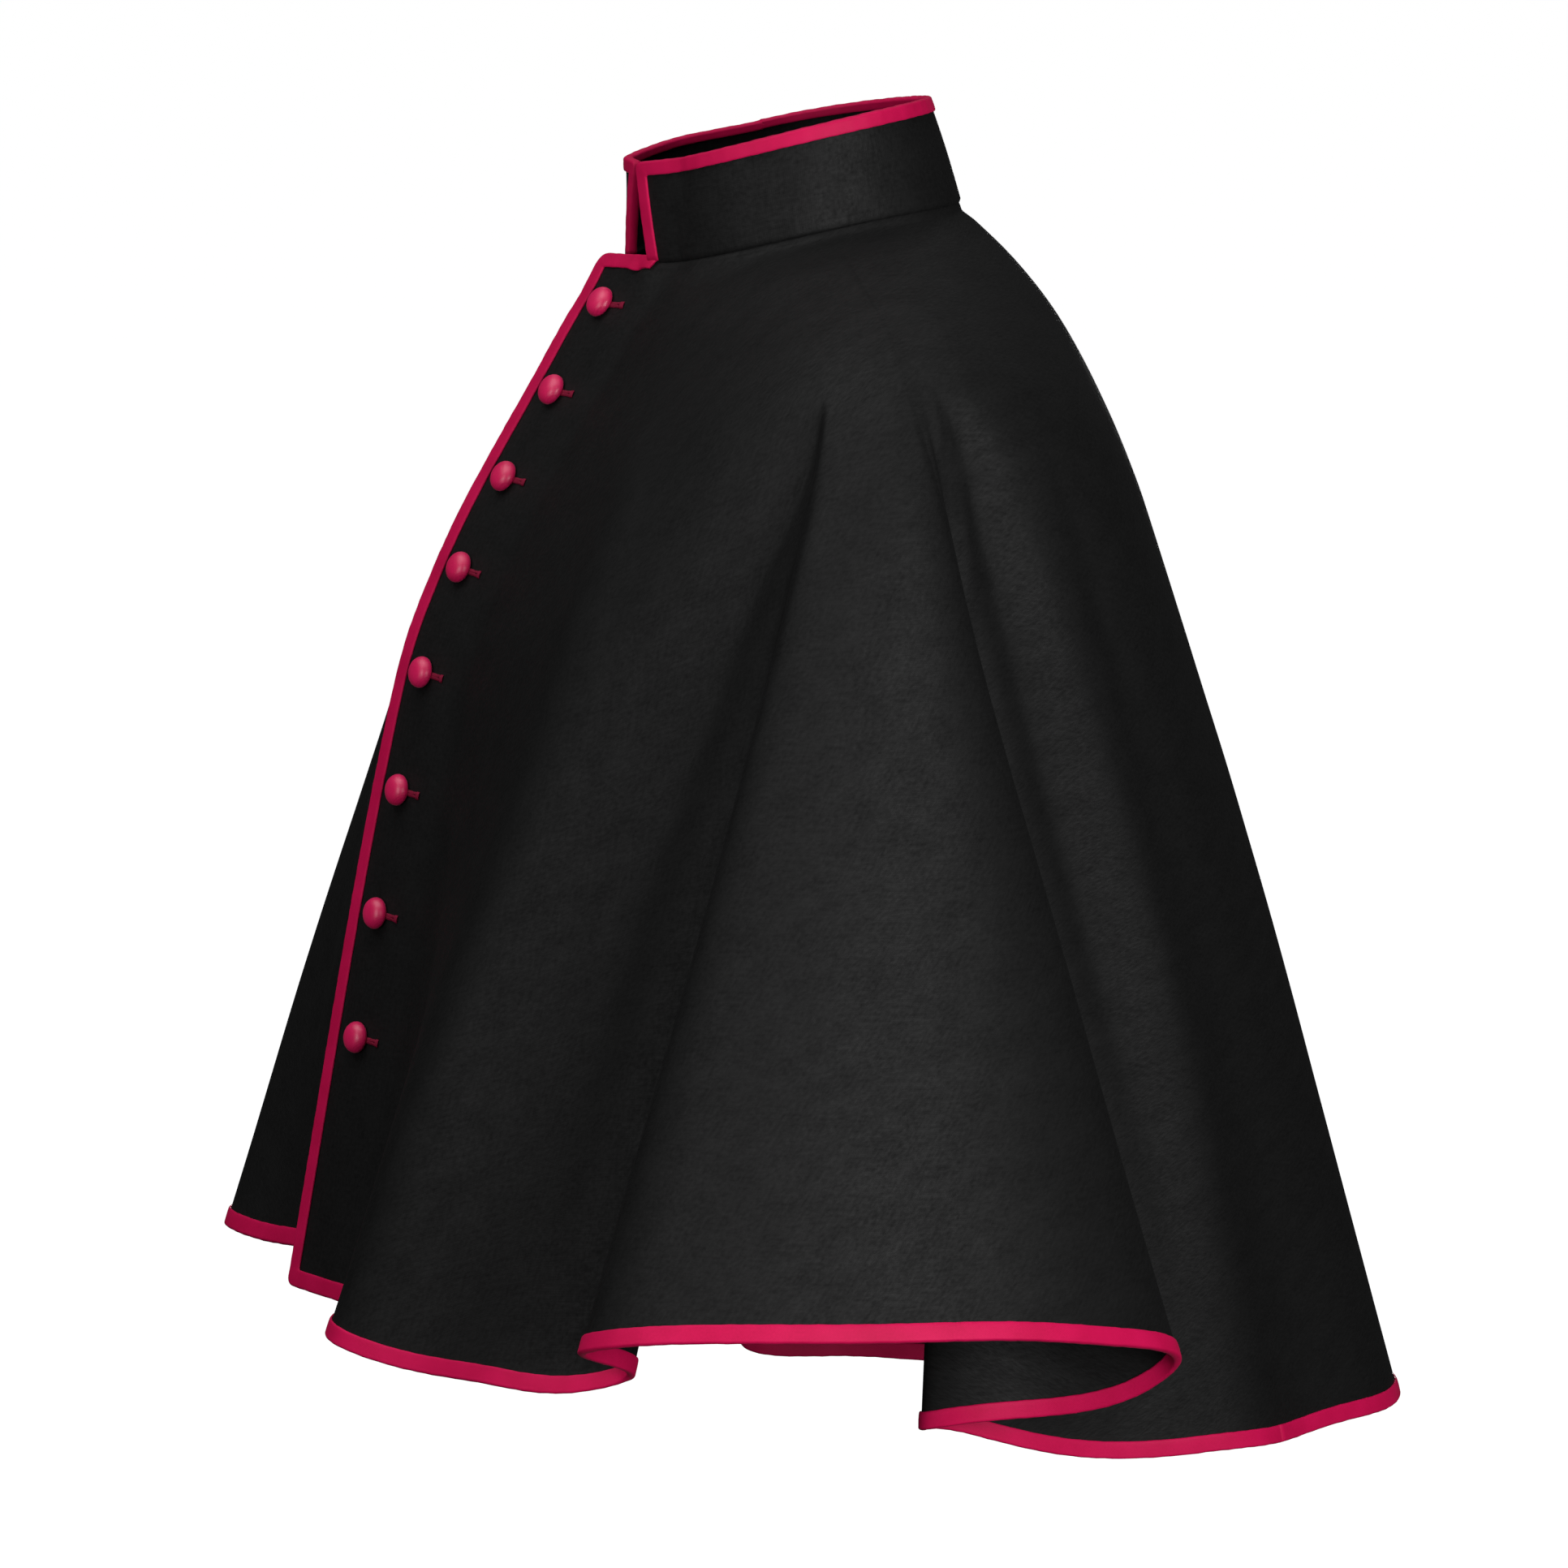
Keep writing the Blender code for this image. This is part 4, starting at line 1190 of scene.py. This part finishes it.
@dataclass
class Closure:
    """The covered buttons and the worked buttonholes on the left front."""

    half: HalfCape
    cover: Material
    thread: Material
    diameter: float = 13.8 * MM
    height: float = 6.3 * MM
    profile: tuple[Pair, ...] = (
        (0.30, 0.02), (0.62, 0.01), (0.80, 0.03), (0.92, 0.10), (0.985, 0.20), (1.00, 0.33), (0.985, 0.46),
        (0.93, 0.61), (0.83, 0.75), (0.70, 0.86), (0.53, 0.935), (0.35, 0.98), (0.17, 0.997),
    )
    sides: int = 64
    pleats: int = 22
    pleat_depth: float = 0.012  # as a share of the radius
    hole_before: float = 2.0 * MM  # the buttonhole starts this far before the button's centre
    hole_after: float = 12.8 * MM
    stitch_pitch: float = 0.62 * MM
    stitch_reach: float = 1.2 * MM
    thread_radius: float = 0.34 * MM
    tack_reach: float = 1.7 * MM
    steps: int = 7  # points of a stitch
    purl_points: int = 90

    def frame_at(self, button: Button) -> tuple[Array, ...]:
        """A button's seat on the cloth's face.

        Args:
            button: its place.

        Returns:
            u and t there, the seat, and unit vectors in from the edge, down and out of the cloth.
        """
        t = self.half.down(np.array([button.down * CM]))
        u = self.half.inset(t, np.array([button.inward * CM]))
        seat, normal = self.half.surface(u, t)[0], self.half.normals(u, t)[0]
        across = unit(np.cross(normal, self.half.surface(u, t + STEP)[0] - seat))
        return u, t, seat, across, unit(np.cross(across, normal)), normal

    def build_button(self, number: int, button: Button) -> Object:
        """A domed mould in crimson silk: a profile turned round its axis, with small pleats at the rim.

        Args:
            number: the button's, from the top down.
            button: its place.

        Returns:
            The object. A pleat is a cosine round the rim, and fades above and below it as a bell.
        """
        _, _, seat, across, down, normal = self.frame_at(button)
        radius, height = np.array(self.profile).T
        angle = np.linspace(0, 2 * np.pi, self.sides, endpoint=False)
        pleated = np.cos(self.pleats * angle) * bell((height[:, None] - 0.12) / 0.12)
        wide = radius[:, None] * (1 + self.pleat_depth * pleated) * self.diameter / 2
        tall = np.broadcast_to(height[:, None] * self.height, wide.shape)
        flat = np.stack([wide * np.cos(angle), wide * np.sin(angle)], -1)
        place = seat + normal * (WALL / 2 + 0.1 * MM)
        rings = place + flat[..., :1] * across + flat[..., 1:] * down + tall[..., None] * normal
        chart = np.stack([flat[..., 0] + number * 0.03, flat[..., 1]], -1)
        piece = tube_mesh(f"covered_button_{number}", rings, chart, self.cover)
        dress(piece, "button", f"button_{number}")
        return piece

    def thread_runs(self, paths: Array, sides: int = 6) -> tuple[Array, Array]:
        """Many short threads as one mesh: a ring of points round each path's points.

        Args:
            paths: one path for each thread, in the buttonhole's own axes: in, down and out.
            sides: of a ring.

        Returns:
            Vertices in the same axes, and faces.
        """
        threads, steps = paths.shape[:2]
        ahead = unit(np.gradient(paths, axis=1))
        side = unit(np.cross(ahead, (0.0, 0.0, 1.0)))
        up = np.cross(side, ahead)
        turn = np.linspace(0, 2 * np.pi, sides, endpoint=False)[:, None]
        taper = np.clip(np.sin(np.pi * (np.arange(steps) + 0.6) / (steps + 0.2)) * 2, 0.35, 1)
        ring = side[:, :, None] * np.cos(turn) + up[:, :, None] * np.sin(turn)
        points = paths[:, :, None] + ring * self.thread_radius * taper[:, None, None]
        caps = np.array([[0, 1, 2, 3], [0, 3, 4, 5]])
        one = np.concatenate([grid_faces(steps, sides, ring=True), caps[:, ::-1], caps + (steps - 1) * sides])
        faces = one + (np.arange(threads) * steps * sides)[:, None, None]
        return points.reshape(-1, 3), faces.reshape(-1, 4)

    def stitch_paths(self) -> list[Array]:
        """The buttonhole's threads: stitches across both lips, a purl along each, and the end's tack.

        A stitch rises over the lip as half a sine wave, from the slit out to stitch_reach.

        Returns:
            Sets of paths, in the buttonhole's own axes: in, down and out.
        """
        along = np.arange(-self.hole_before, self.hole_after, self.stitch_pitch)
        steps, radius = np.linspace(0, 1, self.steps), self.thread_radius
        wobble = 1 + 0.07 * np.sin(along * 5100) + 0.05 * np.sin(along * 2300 + 1)
        purl_x = np.linspace(along[0], along[-1], self.purl_points)
        curl = 0.14 * MM * np.sin(2 * np.pi * purl_x / self.stitch_pitch)
        sets = []
        for side in (-1, 1):
            across = side * (0.12 * MM + self.stitch_reach * steps * wobble[:, None])
            lean = along[:, None] + 0.12 * MM * side * steps
            rise = radius * (0.3 + 1.25 * np.sin(np.pi * (0.25 + 0.75 * steps)))
            sets.append(np.stack([lean, across, np.broadcast_to(rise, across.shape)], -1))
            purl = [purl_x, side * (0.3 * MM + curl), 1.35 * radius + 0.4 * np.abs(curl)]
            sets.append(np.stack(purl, -1)[None])
        ends = self.hole_after + np.linspace(-0.3, 1.0, 4) * MM
        reach, rise = self.tack_reach * (2 * steps - 1), radius * (0.5 + 1.4 * np.sin(np.pi * steps) ** 0.5)
        sets.append(np.stack([np.stack([end + 0 * steps, reach, rise], -1) for end in ends]))
        return sets

    def build_buttonhole(self, number: int, button: Button) -> Object:
        """A worked buttonhole, laid on the cloth's own points and lifted along its normal.

        Args:
            number: the button's, from the top down.
            button: its place.

        Returns:
            The object.
        """
        u, t, seat, across, down, _ = self.frame_at(button)
        vertices, faces = [], []
        for paths in self.stitch_paths():
            points, cells = self.thread_runs(paths)
            faces.append(cells + sum(len(done) for done in vertices))
            vertices.append(points)
        local = np.concatenate(vertices)
        du = (self.half.surface(u + STEP, t)[0] - seat) / STEP
        dt = (self.half.surface(u, t + STEP)[0] - seat) / STEP
        steps = np.linalg.lstsq(np.stack([du, dt], -1), np.stack([across, down], -1), rcond=None)[0]
        us, ts = (np.concatenate([u, t]) + local[:, :2] @ steps.T).T
        places = self.half.surface(us, ts) + self.half.normals(us, ts) * (WALL / 2 + local[:, 2:])
        piece = mesh_object(f"buttonhole_{number}", places, np.concatenate(faces), local[:, :2], self.thread)
        dress(piece, "binding")
        return piece


# Finishes


class Axis(Enum):
    """The direction in which the threads of a weave repeat."""

    X = "X"
    Y = "Y"
    DIAGONAL = "DIAGONAL"


@dataclass
class NodeBook:
    """A material under construction, with short ways to add and join its nodes."""

    name: str
    material: Material = field(init=False)
    shader: Node = field(init=False)

    def __post_init__(self) -> None:
        """Starts with the one shader and its output."""
        self.material = bpy.data.materials.new(self.name)
        self.material.use_nodes = True
        self.shader = self.material.node_tree.nodes["Principled BSDF"]

    def put(self, node: Node, **values: object) -> Node:
        """Gives a node its inputs' values by name, and its own settings.

        Args:
            node: the node.
            values: each by the input's name in small letters, or the setting's own name.

        Returns:
            The node.
        """
        sockets = {socket.name.lower().replace(" ", "_"): socket for socket in node.inputs}
        for key, value in values.items():
            if key in sockets:
                sockets[key].default_value = value
            else:
                setattr(node, key, value)
        return node

    def add(self, kind: str, **values: object) -> Node:
        """A new node of a kind, with the values that put takes."""
        return self.put(self.material.node_tree.nodes.new(kind), **values)

    def join(self, source: Socket, target: Socket) -> None:
        """Links an output to an input."""
        self.material.node_tree.links.new(source, target)

    def chart(self, stretch: Triple = (1.0, 1.0, 1.0)) -> Socket:
        """The cloth's flat map (m), stretched."""
        mapping = self.add("ShaderNodeMapping", scale=stretch)
        self.join(self.add("ShaderNodeUVMap", uv_map="cut").outputs["UV"], mapping.inputs["Vector"])
        return mapping.outputs["Vector"]

    def noise(self, scale: float, stretch: Triple = (1.0, 1.0, 1.0)) -> Socket:
        """Soft noise on the flat map, with about scale blots a metre."""
        node = self.add("ShaderNodeTexNoise", scale=scale, detail=3.0)
        self.join(self.chart(stretch), node.inputs["Vector"])
        return node.outputs["Fac"]

    def threads(self, pitch: float, axis: Axis, wander: float) -> Socket:
        """Even bands on the flat map, one for each thread: a sine wave of that pitch (m).

        Args:
            pitch: from thread to thread.
            axis: across the threads.
            wander: how unevenly they run.

        Returns:
            The wave's value, 0 to 1.
        """
        scale = 2 * np.pi / 20 / pitch  # at scale 1 the node makes 20 / (2 pi) waves in a metre
        node = self.add("ShaderNodeTexWave", scale=scale, distortion=wander, detail=1.0)
        node.bands_direction = axis.value
        self.join(self.chart(), node.inputs["Vector"])
        return node.outputs["Fac"]

    def blend(self, share: Socket, low: Triple, high: Triple, span: Pair) -> Socket:
        """A colour between low and high, as the share goes through the span.

        Args:
            share: the value that chooses.
            low: the colour below the span.
            high: the colour above it.
            span: where it starts and ends.

        Returns:
            The colour.
        """
        ramp = self.add("ShaderNodeValToRGB")
        first, last = ramp.color_ramp.elements
        first.position, first.color = span[0], (*low, 1)
        last.position, last.color = span[1], (*high, 1)
        self.join(share, ramp.inputs["Fac"])
        return ramp.outputs["Color"]

    def mix(self, *parts: tuple[Socket, float]) -> Socket:
        """The sum of some values, each times its share.

        Args:
            parts: each a value and its share.

        Returns:
            The sum.
        """
        total = None
        for value, share in parts:
            node = self.add("ShaderNodeMath", operation="MULTIPLY_ADD")
            self.join(value, node.inputs[0])
            node.inputs[1].default_value = share
            node.inputs[2].default_value = 0.0
            if total is not None:
                self.join(total, node.inputs[2])
            total = node.outputs["Value"]
        return total

    def raise_by(self, heights: list[tuple[Socket, float, float]]) -> None:
        """Bumps, one over the other: each a height, its strength and its depth (m).

        Args:
            heights: the bumps, lowest first.
        """
        target = self.shader.inputs["Normal"]
        for height, strength, depth in reversed(heights):
            bump = self.add("ShaderNodeBump", strength=strength, distance=depth)
            self.join(height, bump.inputs["Height"])
            self.join(bump.outputs["Normal"], target)
            target = bump.inputs["Normal"]


@dataclass(frozen=True)
class Wool:
    """Fine black wool with a short nap, and the odd thicker thread each way."""

    name: str = "black wool"
    deep: Triple = (0.0020, 0.0020, 0.0020)
    worn: Triple = (0.0088, 0.0088, 0.0088)
    roughness: Pair = (0.57, 0.73)
    spread: Pair = (0.37, 0.63)  # of the nap's mixed noise, from deep to worn
    specular: float = 0.18
    sheen: float = 0.005
    sheen_roughness: float = 0.4
    pitch: float = 0.75 * MM
    nap_scale: float = 520  # blots a metre
    slub_scale: float = 200
    cloud_scale: float = 70
    shares: Triple = (0.35, 0.4, 0.25)  # of slubs, nap and clouds

    def build(self) -> Material:
        """The material: colour from nap and slubs, bumps from both and the weave.

        Returns:
            The material: its colour and its roughness run from deep to worn with one mix of the noises.
        """
        book = NodeBook(self.name)
        nap = book.noise(self.nap_scale)
        warp = book.noise(self.slub_scale, (3.5, 0.6, 1.0))
        weft = book.noise(self.slub_scale, (0.6, 3.5, 1.0))
        slubs = book.mix((warp, 0.5), (weft, 0.5))
        mixed = book.mix(*zip((slubs, nap, book.noise(self.cloud_scale)), self.shares))
        book.join(book.blend(mixed, self.deep, self.worn, self.spread), book.shader.inputs["Base Color"])
        low, high = ((value,) * 3 for value in self.roughness)
        book.join(book.blend(mixed, high, low, self.spread), book.shader.inputs["Roughness"])
        weave = book.mix(*((book.threads(self.pitch, axis, 0.6), 1.0) for axis in (Axis.X, Axis.Y)))
        book.raise_by([(weave, 0.25, 0.06 * MM), (slubs, 0.7, 0.19 * MM), (nap, 0.8, 0.17 * MM)])
        book.put(
            book.shader,
            specular_ior_level=self.specular,
            sheen_weight=self.sheen,
            sheen_roughness=self.sheen_roughness,
        )
        return book.material


@dataclass(frozen=True)
class Silk:
    """Crimson silk: a fine weave across it, slight clouds in its colour, and a dull gleam."""

    name: str
    deep: Triple
    bright: Triple
    roughness: float
    specular: float
    sheen: float
    pitch: float = 0.4 * MM
    axis: Axis = Axis.DIAGONAL
    sheen_roughness: float = 0.35
    sheen_tint: Triple = (1.0, 0.55, 0.7)
    cloud_scale: float = 55  # blots a metre
    fleck_scale: float = 1100
    shares: Triple = (0.55, 0.3, 0.15)  # of clouds, flecks and weave
    spread: Pair = (0.35, 0.65)

    def build(self) -> Material:
        """The material: colour from clouds and threads, bumps from the weave.

        Returns:
            The material: its colour runs from deep to bright with one mix of clouds, flecks and weave.
        """
        book = NodeBook(self.name)
        cloud, fleck = book.noise(self.cloud_scale), book.noise(self.fleck_scale)
        weave = book.threads(self.pitch, self.axis, 0.4)
        mixed = book.mix(*zip((cloud, fleck, weave), self.shares))
        book.join(book.blend(mixed, self.deep, self.bright, self.spread), book.shader.inputs["Base Color"])
        book.raise_by([(weave, 0.35, 0.04 * MM), (cloud, 0.2, 0.2 * MM), (fleck, 0.3, 0.04 * MM)])
        book.put(
            book.shader,
            roughness=self.roughness,
            specular_ior_level=self.specular,
            sheen_weight=self.sheen,
            sheen_roughness=self.sheen_roughness,
            sheen_tint=(*self.sheen_tint, 1.0),
        )
        return book.material


BINDING_SILK = Silk("crimson binding", (0.50, 0.003, 0.060), (0.62, 0.006, 0.084), 0.55, 0.12, 0.03)
BUTTON_SILK = Silk(
    "crimson button silk", (0.64, 0.004, 0.080), (0.78, 0.010, 0.12), 0.40, 0.75, 0.10, 0.5 * MM
)
THREAD = Silk("crimson thread", (0.17, 0.003, 0.022), (0.27, 0.006, 0.040), 0.6, 0.15, 0.03, 0.3 * MM)


# The studio


@dataclass(frozen=True)
class SoftBox:
    """A square lamp that looks at the cape from an azimuth and an elevation (degrees)."""

    name: str
    azimuth: float
    elevation: float
    distance: float
    size: float
    power: float


@dataclass
class Studio:
    """A plain pale floor, soft lamps and the camera."""

    target: Triple = (0.0, -0.00547, -0.24307)
    azimuth: float = 75.0
    elevation: float = 8.4
    distance: float = 4.6
    metres_per_pixel: float = 0.000355  # at the target's distance
    pixels: int = 1932
    sensor: float = 36.0
    floor_z: float = -1.45
    floor_radius: float = 60.0
    floor_sides: int = 96
    floor_glow: float = 0.99
    lamps: tuple[SoftBox, ...] = (
        SoftBox("side_lamp", 109, 1, 3.0, 1.4, 49),
        SoftBox("near_lamp", 93, 5, 1.6, 0.6, 6),
        SoftBox("front_lamp", 38, 10, 3.0, 1.4, 22),
        SoftBox("high_front_lamp", 5, 62, 3.0, 2.4, 36),
        SoftBox("high_side_lamp", 75, 66, 3.0, 2.4, 14),
        SoftBox("high_back_lamp", 150, 66, 3.0, 2.4, 11),
        SoftBox("high_far_lamp", 255, 50, 3.0, 1.6, 4),
        SoftBox("back_lamp", 255, -5, 3.0, 1.0, 36),
    )
    world_light: float = 0.01

    def floor(self) -> None:
        """A wide pale disc well below the hem, with its own faint glow."""
        corner = np.arange(self.floor_sides)
        turn = 2 * np.pi * corner / self.floor_sides
        rim = np.stack([np.cos(turn), np.sin(turn), 0 * turn], -1) * self.floor_radius
        vertices = np.concatenate([[[0, 0, 0]], rim]) + (0, 0, self.floor_z)
        faces = np.stack([0 * corner, corner + 1, np.roll(corner, -1) + 1, 0 * corner - 1], -1)
        book = NodeBook("pale floor")
        book.put(
            book.shader,
            base_color=(0.86, 0.86, 0.86, 1),
            roughness=0.9,
            specular_ior_level=0.0,
            emission_color=(1, 1, 1, 1),
            emission_strength=self.floor_glow,
        )
        floor = mesh_object("floor", vertices, faces, vertices[:, :2], book.material)
        floor.visible_diffuse = False
        floor.visible_glossy = False

    def aim(self, data: bpy.types.ID, azimuth: float, elevation: float, distance: float) -> Object:
        """A lamp or the camera, placed so that it looks at the target.

        Args:
            data: the lamp's or camera's own settings.
            azimuth: 0 in front of the wearer, 90 at the wearer's left (degrees).
            elevation: above the target (degrees).
            distance: from the target.

        Returns:
            The object, linked to the scene.
        """
        a, e = np.radians((azimuth, elevation))
        way = Vector((np.sin(a) * np.cos(e), -np.cos(a) * np.cos(e), np.sin(e)))
        made = bpy.data.objects.new(data.name, data)
        made.location = Vector(self.target) + way * distance
        made.rotation_mode = "QUATERNION"
        made.rotation_quaternion = (-way).to_track_quat("-Z", "Y")
        bpy.context.scene.collection.objects.link(made)
        return made

    def lights(self) -> None:
        """The lamps, and a dim even world that the camera sees as the floor's white."""
        for lamp in self.lamps:
            data = bpy.data.lights.new(lamp.name, "AREA")
            data.size = lamp.size
            data.energy = lamp.power
            self.aim(data, lamp.azimuth, lamp.elevation, lamp.distance).visible_camera = False
        world = bpy.data.worlds.new("studio")
        world.use_nodes = True
        nodes, join = world.node_tree.nodes, world.node_tree.links.new
        mix = nodes.new("ShaderNodeMixShader")
        join(nodes.new("ShaderNodeLightPath").outputs["Is Camera Ray"], mix.inputs[0])
        skies = ((nodes["Background"], self.world_light), (nodes.new("ShaderNodeBackground"), 1.0))
        for place, (sky, strength) in enumerate(skies, 1):
            sky.inputs["Color"].default_value = (1, 1, 1, 1)
            sky.inputs["Strength"].default_value = strength
            join(sky.outputs[0], mix.inputs[place])
        join(mix.outputs[0], nodes["World Output"].inputs["Surface"])
        bpy.context.scene.world = world

    def camera(self) -> None:
        """The camera: its lens makes one pixel metres_per_pixel wide at the target."""
        data = bpy.data.cameras.new("camera")
        data.sensor_width = self.sensor
        data.lens = self.sensor * self.distance / (self.pixels * self.metres_per_pixel)
        data.clip_end = 200
        bpy.context.scene.camera = self.aim(data, self.azimuth, self.elevation, self.distance)

    def build(self) -> None:
        """Everything that isn't the cape."""
        self.floor()
        self.lights()
        self.camera()
        bpy.context.scene.view_settings.view_transform = "Standard"


def main() -> None:
    """Builds the cape piece by piece, then the studio."""
    logging.basicConfig(level=logging.INFO, format="%(name)s: %(message)s")
    wool = Wool().build()
    left = HalfCape("left", 1, -2.5, LEFT_FOLDS, LEFT_CREASES, corner_top=6 * MM, corner_low=3.5 * MM)
    right = HalfCape("right", -1, -1.5, RIGHT_FOLDS, RIGHT_CREASES, fold_power=1.0)
    left.build("cape_left", wool)
    right.build("cape_right", wool)
    collar = Collar(left, right)
    collar.build("collar", wool)
    binding = Binding(left, right, collar, BINDING_SILK.build())
    binding.left_strip("edge_binding_left")
    binding.right_strip("edge_binding_right")
    binding.collar_strip("collar_binding")
    closure = Closure(left, BUTTON_SILK.build(), THREAD.build())
    for number, button in enumerate(BUTTONS, 1):
        closure.build_button(number, button)
        closure.build_buttonhole(number, button)
    Studio().build()


if __name__ == "__main__":
    main()
